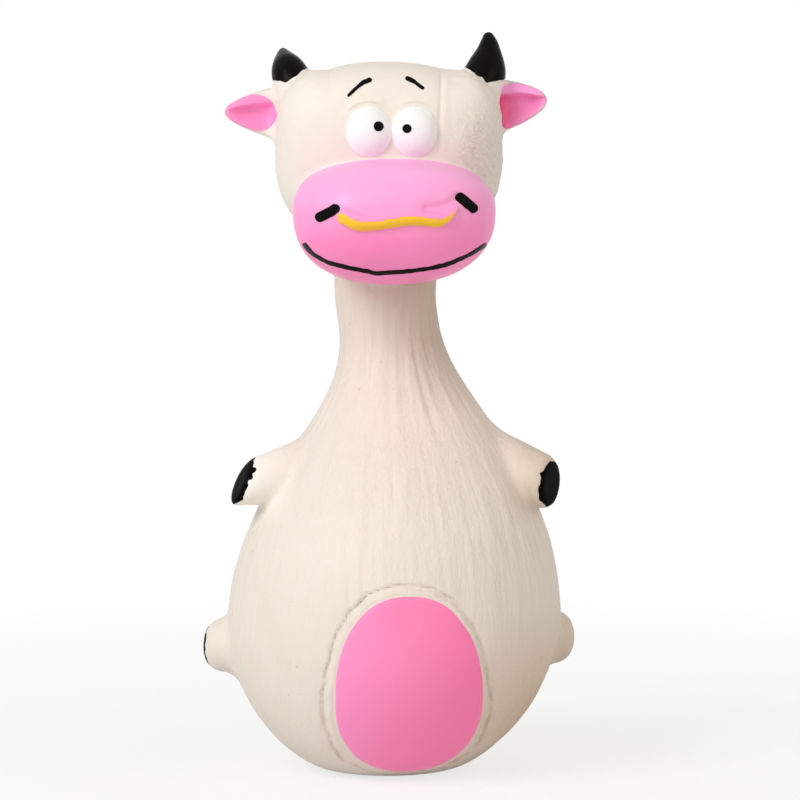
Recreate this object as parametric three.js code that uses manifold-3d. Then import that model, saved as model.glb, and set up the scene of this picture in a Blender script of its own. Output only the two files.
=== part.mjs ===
// A latex squeaky toy for dogs: a pear-bodied cow with a long bending neck, a belly that presses in,
// and a reed squeaker plugged into its base. The skin is hollow and stuffed with loose fibre.
//
// Sizes are millimetres and angles are degrees. +Z is up, the toy faces -Y, and the origin is the
// middle of the flat base that it stands on.

import * as THREE from "three";
import { mergeVertices } from "three/addons/utils/BufferGeometryUtils.js";
import Module from "manifold-3d";

const wasm = await Module();
wasm.setup();

// Latex and paint
const SKIN_WALL = 2.2;
const SEAT_GAP = 0.3; // left between pieces that touch
const FILLING_GAP = 0.6; // left between the skin and its loose filling
const PAINT_FILM = 0.5;

// Pear-shaped body, by its outline from the base up to the throat
const BASE_RADIUS = 12.5;
const BASE_FLARE = 11.2; // the outline leaves the base outward by this
const BASE_LIFT = 2.2; // and upward by this
const BELLY_RADIUS = 35.9;
const BELLY_HEIGHT = 32;
const BELLY_DROP = 14.4; // fullness below the widest ring
const BELLY_RISE = 32.5; // fullness above it
const NECK_RADIUS = 10.7;
const NECK_HEIGHT = 96.5; // the slimmest ring
const NECK_DROP = 16.7;
const THROAT_RADIUS = 12;
const THROAT_SINK = 4; // how far the throat runs up into the head
const BODY_DEPTH = 0.95; // front-to-back thickness for each unit of width
const BODY_TURN = 4.5; // the body faces a little to its left of the head

// How far the soft body leans sideways, by height
const LEAN_HEIGHTS = [0, 40, 74, 92, 103, 116];
const LEAN_OFFSETS = [0, 1.2, 2.4, 0.8, -0.6, 0];

// Bending stretches of the neck
const NECK_FOOT = 79;
const NECK_MIDDLE = 90;
const NECK_TOP = 101;

// Belly patch, an egg-shaped panel of the skin
const PATCH_HALF_WIDTH = 15.3;
const PATCH_HEIGHT = 19; // height of its widest line
const PATCH_UP = 23;
const PATCH_DOWN = 15.4;
const PATCH_PROUD = 0.6;

// Head and muzzle, as rounded boxes: squareness 2 is an ellipsoid
const HEAD_HEIGHT = 132.5;
const HEAD_FORWARD = 2;
const HEAD_HALF_WIDTH = 24.3;
const HEAD_HALF_DEPTH = 19;
const HEAD_HALF_HEIGHT = 20.6;
const HEAD_SQUARENESS = 2.8;
const MUZZLE_FORWARD = 17; // from the head's middle
const MUZZLE_BELOW = 10;
const MUZZLE_HALF_WIDTH = 21.2;
const MUZZLE_HALF_DEPTH = 18;
const MUZZLE_UP = 11;
const MUZZLE_DOWN = 16;
const MUZZLE_SQUARENESS = 2.4;

// Eyes, placed from the head's middle, and the painted pupils from each eye's middle
const EYE_APART = 4.75;
const EYE_ABOVE = 6;
const EYE_FORWARD = 18;
const EYE_HALF_WIDTH = 4.6;
const EYE_HALF_DEPTH = 4.2;
const EYE_HALF_HEIGHT = 5;
const PUPIL_RADIUS = 1.05;
const PUPIL_INWARD = 1.6;
const PUPIL_ABOVE = 0.9;

// Brows, as painted strokes on the forehead: [outer end, inner end] from the head's middle
const BROW_WIDTH = 0.9;
const LEFT_BROW = [[-9.5, 13], [-7.4, 15.2], [-4.9, 16.4]];
const RIGHT_BROW = [[6.6, 14.4], [4.9, 15.7], [3.1, 16.8]];

// Nose ring, a raised bead that waves across the muzzle from its middle
const RING_RADIUS = 1.15;
const RING_PATH = [
  [-10.6, -0.6], [-8.6, -1.3], [-6, -1.6], [-2.6, -0.9], [0.6, 0.1],
  [4, 0.2], [7.2, -0.5], [10, -0.5], [12, 0.1],
];

// Nostrils and mouth, painted on the muzzle
const NOSTRIL_LENGTH = 5.2;
const NOSTRIL_WIDTH = 2.1;
const LEFT_NOSTRIL = { x: -14.2, z: 0.4, rise: 30 };
const RIGHT_NOSTRIL = { x: 15, z: 2.4, rise: -34 };
const MOUTH_WIDTH = 0.9;
const MOUTH_HALF_SPAN = 18.6;
const MOUTH_LOW = -12.4;
const MOUTH_HIGH = -6.8;

// Ears, leaves of latex that flap on their roots
const EAR_ABOVE = 9.9;
const EAR_LENGTH = 11.6;
const EAR_HALF_HEIGHT = 4.2;
const EAR_HALF_DEPTH = 2.2;
const EAR_LIFT = 9; // the tip points up by this
const EAR_SWING = 35;
const EAR_LINING_INSET = 0.9;

// Horns, bent cones on the crown
const HORN_OUT = 18;
const HORN_BACK = 2;
const HORN_BASE_HEIGHT = 15;
const HORN_BASE_RADIUS = 4.1;
const HORN_TIP_RADIUS = 1.3;
const HORN_LENGTH = 12.6;
const HORN_SPLAY = 10;
const HORN_SWING = 15;
const LEFT_HORN_LEAN = 42; // the left horn is bent further back
const RIGHT_HORN_LEAN = 6;

// Legs, stubs that swell from the sides of the body; the hoof is the black end
const FRONT_LEG = {
  rootHeight: 68.5, rootInside: 8, rootForward: 2, rootRadius: 7.6,
  tipHeight: 60.3, tipOutside: 5.6, tipForward: 5, tipRadius: 5.2, hoof: 4.2,
};
const HIND_LEG = {
  rootHeight: 28.2, rootInside: 11.8, rootForward: -2, rootRadius: 7.6,
  tipHeight: 27.6, tipOutside: 4.7, tipForward: -6.6, tipRadius: 6.2, hoof: 1.6,
};
const LEG_ROUNDING = 2.4;

// Squeaker: a flanged plug with a grille, and a reed clamped on a half-round block
const PLUG_RADIUS = 7;
const PLUG_HEIGHT = 12;
const PLUG_WALL = 1.2;
const FLANGE_RADIUS = 8.8;
const FLANGE_THICKNESS = 1;
const FLANGE_EASE = 0.25;
const BEAD_RADIUS = 7.6; // the ridge that snaps behind the latex
const BEAD_HEIGHT = 1.4;
const GRILLE_THICKNESS = 1.2;
const GRILLE_LEDGE = 0.7;
const GRILLE_HOLES = 6;
const GRILLE_HOLE_RADIUS = 0.9;
const GRILLE_HOLE_CIRCLE = 3.6;
const REED_BLOCK_RADIUS = 2.6;
const REED_BLOCK_PROUD = 1; // above the plug's top
const REED_BLOCK_LENGTH = 8.6;
const REED_WIDTH = 3.4;
const REED_THICKNESS = 0.4;
const REED_CLAMP_LENGTH = 1.8;
const AIR_CHANNEL_WIDTH = 2;
const AIR_CHANNEL_DEPTH = 1.2;
const AIR_CHANNEL_FLOOR = 1; // the block closes the channel's lower end

// Facets
const BODY_SIDES = 28;
const CURVE_STEPS = 7;
const BALL_SIDES = 22;
const BALL_RINGS = 13;
const EYE_SIDES = 14;
const EYE_RINGS = 9;
const FILLING_SIDES = 16;
const LIMB_SIDES = 14;
const PLUG_SIDES = 28;
const HOLE_SIDES = 10;
const FAR = 200; // longer than any piece, for cutting

const LATEX = { color: 0xf1e4d4, roughness: 0.6, metalness: 0 };
const PINK = { color: 0xf984b4, roughness: 0.55, metalness: 0 };
const BLACK = { color: 0x151314, roughness: 0.4, metalness: 0 };
const WHITE = { color: 0xf6f3f4, roughness: 0.4, metalness: 0 };
const YELLOW = { color: 0xf7bd24, roughness: 0.45, metalness: 0 };
const FIBRE = { color: 0xf7f7f5, roughness: 1, metalness: 0 };
const PLASTIC = { color: 0xf2f1ec, roughness: 0.35, metalness: 0 };
const REED = { color: 0xd9dfe2, roughness: 0.25, metalness: 0 };

const { degToRad, clamp, lerp } = THREE.MathUtils;
const at = (x, y, z) => new THREE.Vector3(x, y, z);
const flat = (x, y) => new THREE.Vector2(x, y);

// Solids and cuts

// A closed geometry as a solid, with shared vertices merged and faces of no area dropped.
function solid(geometry) {
  const bare = geometry.clone();
  bare.deleteAttribute("normal");
  bare.deleteAttribute("uv");
  const merged = mergeVertices(bare, 1e-4);
  const corners = merged.index.array;
  const kept = [];
  for (let i = 0; i < corners.length; i += 3) {
    const [a, b, c] = corners.slice(i, i + 3);
    if (a !== b && b !== c && c !== a) kept.push(a, b, c);
  }
  return new wasm.Manifold(
    new wasm.Mesh({
      numProp: 3,
      vertProperties: merged.attributes.position.array,
      triVerts: new Uint32Array(kept),
    }),
  );
}

function geometryOf(made) {
  const mesh = made.getMesh();
  const geometry = new THREE.BufferGeometry();
  geometry.setAttribute("position", new THREE.BufferAttribute(mesh.vertProperties, 3));
  geometry.setIndex(new THREE.BufferAttribute(mesh.triVerts, 1));
  geometry.computeVertexNormals();
  return geometry;
}

function addPiece(parent, name, made, look) {
  const mesh = new THREE.Mesh(geometryOf(made), new THREE.MeshStandardMaterial(look));
  mesh.name = name;
  parent.add(mesh);
}

const cut = (made, ...tools) => tools.reduce((rest, tool) => rest.subtract(tool), made);

// All of space between two heights.
function slab(low, high) {
  return solid(new THREE.BoxGeometry(FAR, FAR, high - low).translate(0, 0, (low + high) / 2));
}

// A turned shape about Z. The outline runs up the outside as [radius, height] points.
function turned(outline, sides) {
  return solid(new THREE.LatheGeometry(outline, sides).rotateX(Math.PI / 2));
}

function cylinder(radius, low, high, sides) {
  return turned([flat(0, low), flat(radius, low), flat(radius, high), flat(0, high)], sides);
}

// An outline drawn in X and Z, run forward along -Y from the plane Y = 0.
function forwardPrism(shape) {
  const geometry = new THREE.ExtrudeGeometry(shape, { depth: FAR, bevelEnabled: false, curveSegments: 16 });
  return solid(geometry.rotateX(Math.PI / 2));
}

// A shape about Z moved so that it runs from one point towards another.
function aim(geometry, from, to) {
  const along = to.clone().sub(from).normalize();
  const turn = new THREE.Quaternion().setFromUnitVectors(at(0, 0, 1), along);
  return geometry.applyQuaternion(turn).translate(from.x, from.y, from.z);
}

// A piece cut back so that an obstacle clears it at rest and at both ends of a swing about a line.
function clearSwing(made, obstacle, pivot, axis, swing) {
  const turns = [-swing, -swing / 2, 0, swing / 2, swing].map((degrees) => {
    const turn = new THREE.Matrix4().makeRotationAxis(axis, degToRad(degrees));
    const about = new THREE.Matrix4().makeTranslation(pivot.x, pivot.y, pivot.z);
    about.multiply(turn).multiply(new THREE.Matrix4().makeTranslation(-pivot.x, -pivot.y, -pivot.z));
    return obstacle.transform(about.elements);
  });
  return cut(made, ...turns);
}

// Body

// Sideways lean of the body's middle line at a height.
function leanAt(height) {
  const last = LEAN_HEIGHTS.length - 1;
  const above = LEAN_HEIGHTS.findIndex((level) => level > height);
  const next = above < 0 ? last : Math.max(1, above);
  const share = (height - LEAN_HEIGHTS[next - 1]) / (LEAN_HEIGHTS[next] - LEAN_HEIGHTS[next - 1]);
  return lerp(LEAN_OFFSETS[next - 1], LEAN_OFFSETS[next], clamp(share, 0, 1));
}

const THROAT_TOP = HEAD_HEIGHT - HEAD_HALF_HEIGHT + THROAT_SINK;

// The pear's outline from its base to its throat, drawn in all round by inset.
function pearOutline(inset = 0) {
  const curves = [
    new THREE.CubicBezierCurve(
      flat(BASE_RADIUS, 0),
      flat(BASE_RADIUS + BASE_FLARE, BASE_LIFT),
      flat(BELLY_RADIUS, BELLY_HEIGHT - BELLY_DROP),
      flat(BELLY_RADIUS, BELLY_HEIGHT),
    ),
    new THREE.CubicBezierCurve(
      flat(BELLY_RADIUS, BELLY_HEIGHT),
      flat(BELLY_RADIUS, BELLY_HEIGHT + BELLY_RISE),
      flat(NECK_RADIUS, NECK_HEIGHT - NECK_DROP),
      flat(NECK_RADIUS, NECK_HEIGHT),
    ),
    new THREE.QuadraticBezierCurve(
      flat(NECK_RADIUS, NECK_HEIGHT),
      flat(NECK_RADIUS, (NECK_HEIGHT + THROAT_TOP) / 2),
      flat(THROAT_RADIUS, THROAT_TOP),
    ),
  ];
  const outline = [];
  curves.forEach((curve, index) => {
    for (let step = index ? 1 : 0; step <= CURVE_STEPS; step++) {
      const place = curve.getPoint(step / CURVE_STEPS);
      const along = curve.getTangent(step / CURVE_STEPS);
      place.add(flat(-along.y, along.x).multiplyScalar(inset));
      outline.push(flat(place.x, Math.max(place.y, inset)));
    }
  });
  return outline;
}

// The pear's radius at a height.
function radiusAt(height) {
  const outline = pearOutline();
  const next = Math.max(1, outline.findIndex((point) => point.y > height));
  const [low, high] = [outline[next - 1], outline[next]];
  return lerp(low.x, high.x, (height - low.y) / (high.y - low.y));
}

// The pear as a solid, drawn in all round by inset.
function pear(inset = 0, sides = BODY_SIDES) {
  const wall = pearOutline(inset);
  const outline = [flat(0, inset), ...wall, flat(0, wall.at(-1).y)];
  const geometry = new THREE.LatheGeometry(outline, sides).rotateX(Math.PI / 2);
  const place = geometry.getAttribute("position");
  for (let i = 0; i < place.count; i++) {
    place.setX(i, place.getX(i) + leanAt(place.getZ(i)));
    place.setY(i, place.getY(i) * BODY_DEPTH);
  }
  return solid(geometry);
}

// An egg in X and Z about a height, for the belly patch and its window.
function eggOutline(grow = 0) {
  const shape = new THREE.Shape();
  const middle = leanAt(PATCH_HEIGHT);
  const across = PATCH_HALF_WIDTH + grow;
  shape.absellipse(middle, PATCH_HEIGHT, across, PATCH_UP + grow, 0, Math.PI, false);
  shape.absellipse(middle, PATCH_HEIGHT, across, PATCH_DOWN + grow, Math.PI, 2 * Math.PI, false);
  return shape;
}

// A leg from its root inside the body to its rounded end, split where the hoof starts.
function leg(sizes, side) {
  const place = (out, forward, height) => at(side * out + leanAt(height), -forward, height);
  const rootOut = radiusAt(sizes.rootHeight) - sizes.rootInside;
  const tipOut = radiusAt(sizes.tipHeight) + sizes.tipOutside;
  const root = place(rootOut, sizes.rootForward, sizes.rootHeight);
  const tip = place(tipOut, sizes.tipForward, sizes.tipHeight);
  const length = root.distanceTo(tip);
  const outline = [flat(0, 0), flat(sizes.rootRadius, 0)];
  for (let step = 1; step <= 4; step++) {
    const share = step / 4;
    const swell = lerp(sizes.rootRadius, sizes.tipRadius, share);
    outline.push(flat(swell, (length - LEG_ROUNDING) * share));
  }
  for (let step = 1; step <= 4; step++) {
    const turn = (step / 4) * (Math.PI / 2);
    const inward = LEG_ROUNDING * (1 - Math.cos(turn));
    outline.push(flat(sizes.tipRadius - inward, length - LEG_ROUNDING * (1 - Math.sin(turn))));
  }
  outline.push(flat(0, length));
  const whole = solid(aim(new THREE.LatheGeometry(outline, LIMB_SIDES).rotateX(Math.PI / 2), root, tip));
  const inward = root.clone().sub(tip).normalize();
  const offset = inward.dot(tip) + sizes.hoof;
  return {
    stub: whole.trimByPlane(inward.toArray(), offset),
    hoof: whole.trimByPlane(inward.clone().negate().toArray(), SEAT_GAP - offset),
  };
}

// Head, drawn about its own middle

const HEAD = {
  half: at(HEAD_HALF_WIDTH, HEAD_HALF_DEPTH, HEAD_HALF_HEIGHT),
  down: HEAD_HALF_HEIGHT,
  middle: at(0, 0, 0),
  squareness: HEAD_SQUARENESS,
};
const MUZZLE = {
  half: at(MUZZLE_HALF_WIDTH, MUZZLE_HALF_DEPTH, MUZZLE_UP),
  down: MUZZLE_DOWN,
  middle: at(0, -MUZZLE_FORWARD, -MUZZLE_BELOW),
  squareness: MUZZLE_SQUARENESS,
};
const eyeForm = (side) => ({
  half: at(EYE_HALF_WIDTH, EYE_HALF_DEPTH, EYE_HALF_HEIGHT),
  down: EYE_HALF_HEIGHT,
  middle: at(side * EYE_APART, -EYE_FORWARD, EYE_ABOVE),
  squareness: 2,
});

// A rounded box as a solid, swollen all round by grow.
function swollen(form, grow = 0, sides = BALL_SIDES, rings = BALL_RINGS) {
  const geometry = new THREE.SphereGeometry(1, sides, rings).rotateX(Math.PI / 2);
  const place = geometry.getAttribute("position");
  const power = form.squareness;
  for (let i = 0; i < place.count; i++) {
    const way = at(place.getX(i), place.getY(i), place.getZ(i));
    const reach = way.toArray().reduce((sum, part) => sum + Math.abs(part) ** power, 0) ** (-1 / power);
    const tall = way.z < 0 ? form.down : form.half.z;
    way.multiplyScalar(reach);
    way.multiply(at(form.half.x + grow, form.half.y + grow, tall + grow)).add(form.middle);
    place.setXYZ(i, way.x, way.y, way.z);
  }
  return solid(geometry);
}

// The point on the front of a rounded box at x and z from its middle.
function frontOf(form, x, z) {
  const tall = z < 0 ? form.down : form.half.z;
  const power = form.squareness;
  const left = 1 - Math.abs(x / form.half.x) ** power - Math.abs(z / tall) ** power;
  const depth = form.half.y * Math.max(left, 0) ** (1 / power);
  return at(x, -depth, z).add(form.middle);
}

// A film of paint on the front of a rounded box, where an outline falls on it.
function film(form, outline, sides = BALL_SIDES, rings = BALL_RINGS) {
  const coat = swollen(form, SEAT_GAP + PAINT_FILM, sides, rings);
  const layer = cut(coat, swollen(form, SEAT_GAP, sides, rings));
  const stencil = forwardPrism(outline).translate([form.middle.x, form.middle.y, form.middle.z]);
  return layer.intersect(stencil);
}

// A brush stroke of even width through points in X and Z.
function stroke(points, width, steps) {
  const path = new THREE.SplineCurve(points.map(([x, z]) => flat(x, z)));
  const upper = [];
  const lower = [];
  for (let step = 0; step <= steps; step++) {
    const place = path.getPoint(step / steps);
    const along = path.getTangent(step / steps);
    const across = flat(-along.y, along.x).multiplyScalar(width / 2);
    upper.push(place.clone().add(across));
    lower.unshift(place.clone().sub(across));
  }
  return new THREE.Shape([...upper, ...lower]);
}

// A bar with round ends, tipped by an angle.
function bar({ x, z, rise }, length, width) {
  const shape = new THREE.Shape();
  const reach = (length - width) / 2;
  const tilt = degToRad(rise);
  const right = flat(reach, 0).rotateAround(flat(0, 0), tilt).add(flat(x, z));
  const left = flat(-reach, 0).rotateAround(flat(0, 0), tilt).add(flat(x, z));
  shape.absarc(right.x, right.y, width / 2, tilt - Math.PI / 2, tilt + Math.PI / 2, false);
  shape.absarc(left.x, left.y, width / 2, tilt + Math.PI / 2, tilt + 1.5 * Math.PI, false);
  return shape;
}

function disc(x, z, radius) {
  const shape = new THREE.Shape();
  shape.absarc(x, z, radius, 0, 2 * Math.PI, false);
  return shape;
}

// A loft through round or oval rings, closed at both ends.
function loft(rings) {
  const around = rings[0].length;
  const places = rings.flat().flatMap((point) => point.toArray());
  const middle = (ring) => ring.reduce((sum, point) => sum.add(point), at(0, 0, 0)).divideScalar(around);
  places.push(...middle(rings[0]).toArray(), ...middle(rings.at(-1)).toArray());
  const corners = [];
  const foot = rings.length * around;
  for (let i = 0; i < around; i++) {
    const next = (i + 1) % around;
    for (let level = 0; level < rings.length - 1; level++) {
      const low = level * around;
      const high = low + around;
      corners.push(low + i, low + next, high + next, low + i, high + next, high + i);
    }
    const top = foot - around;
    corners.push(foot, next, i, foot + 1, top + i, top + next);
  }
  const geometry = new THREE.BufferGeometry();
  geometry.setAttribute("position", new THREE.Float32BufferAttribute(places, 3));
  geometry.setIndex(corners);
  return geometry;
}

// An oval ring in the plane across Z, at a height.
function oval(halfX, halfY, height, shiftY = 0) {
  return Array.from({ length: LIMB_SIDES }, (_, i) => {
    const turn = (i / LIMB_SIDES) * 2 * Math.PI;
    return at(halfX * Math.cos(turn), shiftY + halfY * Math.sin(turn), height);
  });
}

// The line that an ear flaps about, on the side of the head.
function earRoot(side) {
  const tall = HEAD_HALF_HEIGHT;
  const across = (1 - (EAR_ABOVE / tall) ** HEAD_SQUARENESS) ** (1 / HEAD_SQUARENESS);
  return at(side * (HEAD_HALF_WIDTH * across + SEAT_GAP), 0, EAR_ABOVE);
}

// The leaf of an ear, swollen by grow: widest near its root and rounded at its tip.
function earLeaf(side, grow = 0) {
  const shares = [-0.3, 0, 0.25, 0.5, 0.72, 0.88, 0.97];
  const heights = [0.85, 1, 0.99, 0.86, 0.63, 0.38, 0.16];
  const depths = [1, 1, 0.9, 0.76, 0.6, 0.46, 0.3];
  const rings = shares.map((share, i) =>
    oval(EAR_HALF_HEIGHT * heights[i] + grow, EAR_HALF_DEPTH * depths[i] + grow, share * EAR_LENGTH + grow),
  );
  const geometry = loft(rings).rotateY(Math.PI / 2);
  geometry.rotateY(-degToRad(EAR_LIFT));
  if (side < 0) geometry.rotateZ(Math.PI);
  const root = earRoot(side);
  return solid(geometry.translate(root.x, root.y, root.z));
}

// A horn about its own foot: a cone that bends back as it rises, with a round tip.
function horn(side, lean) {
  const rings = [];
  const levels = 5;
  for (let level = 0; level <= levels; level++) {
    const share = level / levels;
    const radius = lerp(HORN_BASE_RADIUS, HORN_TIP_RADIUS, share ** 0.85);
    rings.push(oval(radius, radius, share * (HORN_LENGTH - HORN_TIP_RADIUS)));
  }
  rings.push(oval(HORN_TIP_RADIUS * 0.7, HORN_TIP_RADIUS * 0.7, HORN_LENGTH - HORN_TIP_RADIUS * 0.3));
  rings.push(oval(HORN_TIP_RADIUS * 0.25, HORN_TIP_RADIUS * 0.25, HORN_LENGTH));
  const geometry = loft(rings);
  const place = geometry.getAttribute("position");
  for (let i = 0; i < place.count; i++) {
    const bend = degToRad(lean) * (place.getZ(i) / HORN_LENGTH);
    const point = at(place.getX(i), place.getY(i), place.getZ(i)).applyAxisAngle(at(1, 0, 0), -bend);
    place.setXYZ(i, point.x, point.y, point.z);
  }
  const foot = hornFoot(side);
  return solid(geometry.rotateY(degToRad(side * HORN_SPLAY)).translate(foot.x, foot.y, foot.z));
}

function hornFoot(side) {
  return at(side * HORN_OUT, HORN_BACK, HORN_BASE_HEIGHT);
}

// Assembly

const toy = new THREE.Group();
toy.name = "squeaky_dog_toy";

const trunk = new THREE.Group();
trunk.rotation.z = degToRad(BODY_TURN);
toy.add(trunk);

const skull = new THREE.Group();
skull.position.set(0, -HEAD_FORWARD, HEAD_HEIGHT);
toy.add(skull);
const fromSkull = skull.position.toArray();
const toSkull = skull.position.clone().negate().toArray();

const outer = pear();
const inner = pear(SKIN_WALL);
const stuffed = pear(SKIN_WALL + FILLING_GAP, FILLING_SIDES);

// Body skin, with the window of the belly patch and the stepped hole for the squeaker
const plugHole = cylinder(PLUG_RADIUS + SEAT_GAP, -1, SKIN_WALL + 1, PLUG_SIDES);
const flangeSeat = cylinder(FLANGE_RADIUS + SEAT_GAP, -1, FLANGE_THICKNESS + SEAT_GAP, PLUG_SIDES);
const window = forwardPrism(eggOutline(SEAT_GAP));
const bodySkin = cut(outer.intersect(slab(0, NECK_FOOT)), inner, plugHole, flangeSeat, window);
addPiece(trunk, "body_skin", bodySkin, LATEX);

const panel = cut(pear(-PATCH_PROUD), inner);
addPiece(trunk, "belly_patch", panel.intersect(forwardPrism(eggOutline())), PINK);

// Legs and hooves
for (const [side, hand] of [[-1, "left"], [1, "right"]]) {
  for (const [end, sizes] of [["front", FRONT_LEG], ["hind", HIND_LEG]]) {
    const { stub, hoof } = leg(sizes, side);
    addPiece(trunk, `${hand}_${end}_leg`, cut(stub, pear(-SEAT_GAP)), LATEX);
    addPiece(trunk, `${hand}_${end}_hoof`, cut(hoof, pear(-SEAT_GAP)), BLACK);
  }
}

// Neck
const lowerNeck = slab(NECK_FOOT + SEAT_GAP, NECK_MIDDLE);
const upperNeck = slab(NECK_MIDDLE + SEAT_GAP, NECK_TOP);
addPiece(trunk, "lower_neck", cut(outer, inner).intersect(lowerNeck), LATEX);
addPiece(trunk, "upper_neck", cut(outer, inner).intersect(upperNeck), LATEX);

// Filling of the body and the neck
const plugSpace = cylinder(BEAD_RADIUS + SEAT_GAP, 0, PLUG_HEIGHT + REED_BLOCK_PROUD + SEAT_GAP, PLUG_SIDES);
addPiece(trunk, "body_filling", cut(stuffed.intersect(slab(0, NECK_FOOT)), plugSpace), FIBRE);
addPiece(trunk, "lower_neck_filling", stuffed.intersect(lowerNeck), FIBRE);
addPiece(trunk, "upper_neck_filling", stuffed.intersect(upperNeck), FIBRE);

// Squeaker
const bore = PLUG_RADIUS - PLUG_WALL;
const grilleSeat = bore + GRILLE_LEDGE;
const reedHole = REED_BLOCK_RADIUS + SEAT_GAP;
const beadFoot = SKIN_WALL + SEAT_GAP;
const grilleTop = GRILLE_THICKNESS + SEAT_GAP;
const housingOutline = [
  flat(grilleSeat, 0),
  flat(FLANGE_RADIUS - FLANGE_EASE, 0),
  flat(FLANGE_RADIUS, FLANGE_EASE),
  flat(FLANGE_RADIUS, FLANGE_THICKNESS),
  flat(PLUG_RADIUS, FLANGE_THICKNESS),
  flat(PLUG_RADIUS, beadFoot),
  flat(BEAD_RADIUS, beadFoot + BEAD_HEIGHT * 0.35),
  flat(BEAD_RADIUS, beadFoot + BEAD_HEIGHT * 0.6),
  flat(PLUG_RADIUS, beadFoot + BEAD_HEIGHT),
  flat(PLUG_RADIUS, PLUG_HEIGHT - FLANGE_EASE),
  flat(PLUG_RADIUS - FLANGE_EASE, PLUG_HEIGHT),
  flat(reedHole, PLUG_HEIGHT),
  flat(reedHole, PLUG_HEIGHT - PLUG_WALL),
  flat(bore, PLUG_HEIGHT - PLUG_WALL),
  flat(bore, grilleTop),
  flat(grilleSeat, grilleTop),
  flat(grilleSeat, 0),
];
addPiece(trunk, "squeaker_housing", turned(housingOutline, PLUG_SIDES), PLASTIC);

const grilleHoles = Array.from({ length: GRILLE_HOLES }, (_, i) => {
  const turn = (i / GRILLE_HOLES) * 2 * Math.PI;
  const hole = cylinder(GRILLE_HOLE_RADIUS, -1, GRILLE_THICKNESS + 1, HOLE_SIDES);
  return hole.translate([GRILLE_HOLE_CIRCLE * Math.cos(turn), GRILLE_HOLE_CIRCLE * Math.sin(turn), 0]);
});
const grille = cylinder(grilleSeat - SEAT_GAP, 0, GRILLE_THICKNESS, PLUG_SIDES);
addPiece(trunk, "squeaker_grille", cut(grille, ...grilleHoles), PLASTIC);

// The reed lies in the plane Y = 0, with the block behind it and the clamp in front at its top
const reedTop = PLUG_HEIGHT + REED_BLOCK_PROUD;
const reedFoot = reedTop - REED_BLOCK_LENGTH;
const reedFace = REED_THICKNESS / 2 + SEAT_GAP;
const behind = [0, 1, 0];
const ahead = [0, -1, 0];
const channel = new THREE.BoxGeometry(AIR_CHANNEL_WIDTH, 2 * AIR_CHANNEL_DEPTH, REED_BLOCK_LENGTH);
channel.translate(0, reedFace, (reedTop + reedFoot) / 2 + AIR_CHANNEL_FLOOR);
const block = cylinder(REED_BLOCK_RADIUS, reedFoot, reedTop, PLUG_SIDES);
addPiece(trunk, "reed_block", cut(block.trimByPlane(behind, reedFace), solid(channel)), PLASTIC);
const clampBar = cylinder(REED_BLOCK_RADIUS, reedTop - REED_CLAMP_LENGTH, reedTop, PLUG_SIDES);
addPiece(trunk, "reed_clamp", clampBar.trimByPlane(ahead, reedFace), PLASTIC);
const strip = new THREE.BoxGeometry(REED_WIDTH, REED_THICKNESS, REED_BLOCK_LENGTH);
strip.translate(0, 0, (reedTop + reedFoot) / 2);
addPiece(trunk, "reed_tongue", solid(strip), REED);

// Head skin: the head's wall with the throat below it, open to the neck and to the muzzle
const throat = outer.intersect(slab(NECK_TOP + SEAT_GAP, HEAD_HEIGHT)).translate(toSkull);
const throatBore = inner.translate(toSkull);
const headWhole = swollen(HEAD).add(throat);
const headSkin = cut(headWhole, swollen(HEAD, -SKIN_WALL), throatBore, swollen(MUZZLE, -SKIN_WALL));
addPiece(skull, "head_skin", headSkin, LATEX);

const headRoom = swollen(HEAD, SEAT_GAP);
const throatRoom = pear(-SEAT_GAP).translate(toSkull);
const muzzleShell = cut(swollen(MUZZLE), swollen(MUZZLE, -SKIN_WALL));
addPiece(skull, "muzzle", cut(muzzleShell, headRoom, throatRoom), PINK);

const roomInset = -(SKIN_WALL + FILLING_GAP);
const throatRange = slab(NECK_TOP + SEAT_GAP, THROAT_TOP - SEAT_GAP);
const throatFilling = stuffed.intersect(throatRange).translate(toSkull);
const headFilling = swollen(HEAD, roomInset).add(swollen(MUZZLE, roomInset)).add(throatFilling);
addPiece(skull, "head_filling", headFilling, FIBRE);

// Face
const muzzleRoom = swollen(MUZZLE, SEAT_GAP);
for (const [side, hand, brow] of [[-1, "left", LEFT_BROW], [1, "right", RIGHT_BROW]]) {
  const form = eyeForm(side);
  const dome = swollen(form, 0, EYE_SIDES, EYE_RINGS);
  addPiece(skull, `${hand}_eye`, cut(dome, headRoom, muzzleRoom), WHITE);
  const pupil = disc(-side * PUPIL_INWARD, PUPIL_ABOVE, PUPIL_RADIUS);
  addPiece(skull, `${hand}_pupil`, film(form, pupil, EYE_SIDES, EYE_RINGS), BLACK);
  addPiece(skull, `${hand}_brow`, film(HEAD, stroke(brow, BROW_WIDTH, 6)), BLACK);
}
const leftBar = bar(LEFT_NOSTRIL, NOSTRIL_LENGTH, NOSTRIL_WIDTH);
const rightBar = bar(RIGHT_NOSTRIL, NOSTRIL_LENGTH, NOSTRIL_WIDTH);
addPiece(skull, "left_nostril", film(MUZZLE, leftBar), BLACK);
addPiece(skull, "right_nostril", film(MUZZLE, rightBar), BLACK);

const smile = Array.from({ length: 9 }, (_, i) => {
  const share = i / 4 - 1;
  return [share * MOUTH_HALF_SPAN, lerp(MOUTH_LOW, MOUTH_HIGH, share ** 2)];
});
addPiece(skull, "mouth_line", film(MUZZLE, stroke(smile, MOUTH_WIDTH, 14)), BLACK);

const beadPath = new THREE.CatmullRomCurve3(RING_PATH.map(([x, z]) => frontOf(MUZZLE, x, z)));
const beadOutline = disc(0, 0, RING_RADIUS);
const bead = new THREE.ExtrudeGeometry(beadOutline, { extrudePath: beadPath, steps: 20, curveSegments: 4 });
addPiece(skull, "nose_ring", cut(solid(bead), muzzleRoom), YELLOW);

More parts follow.
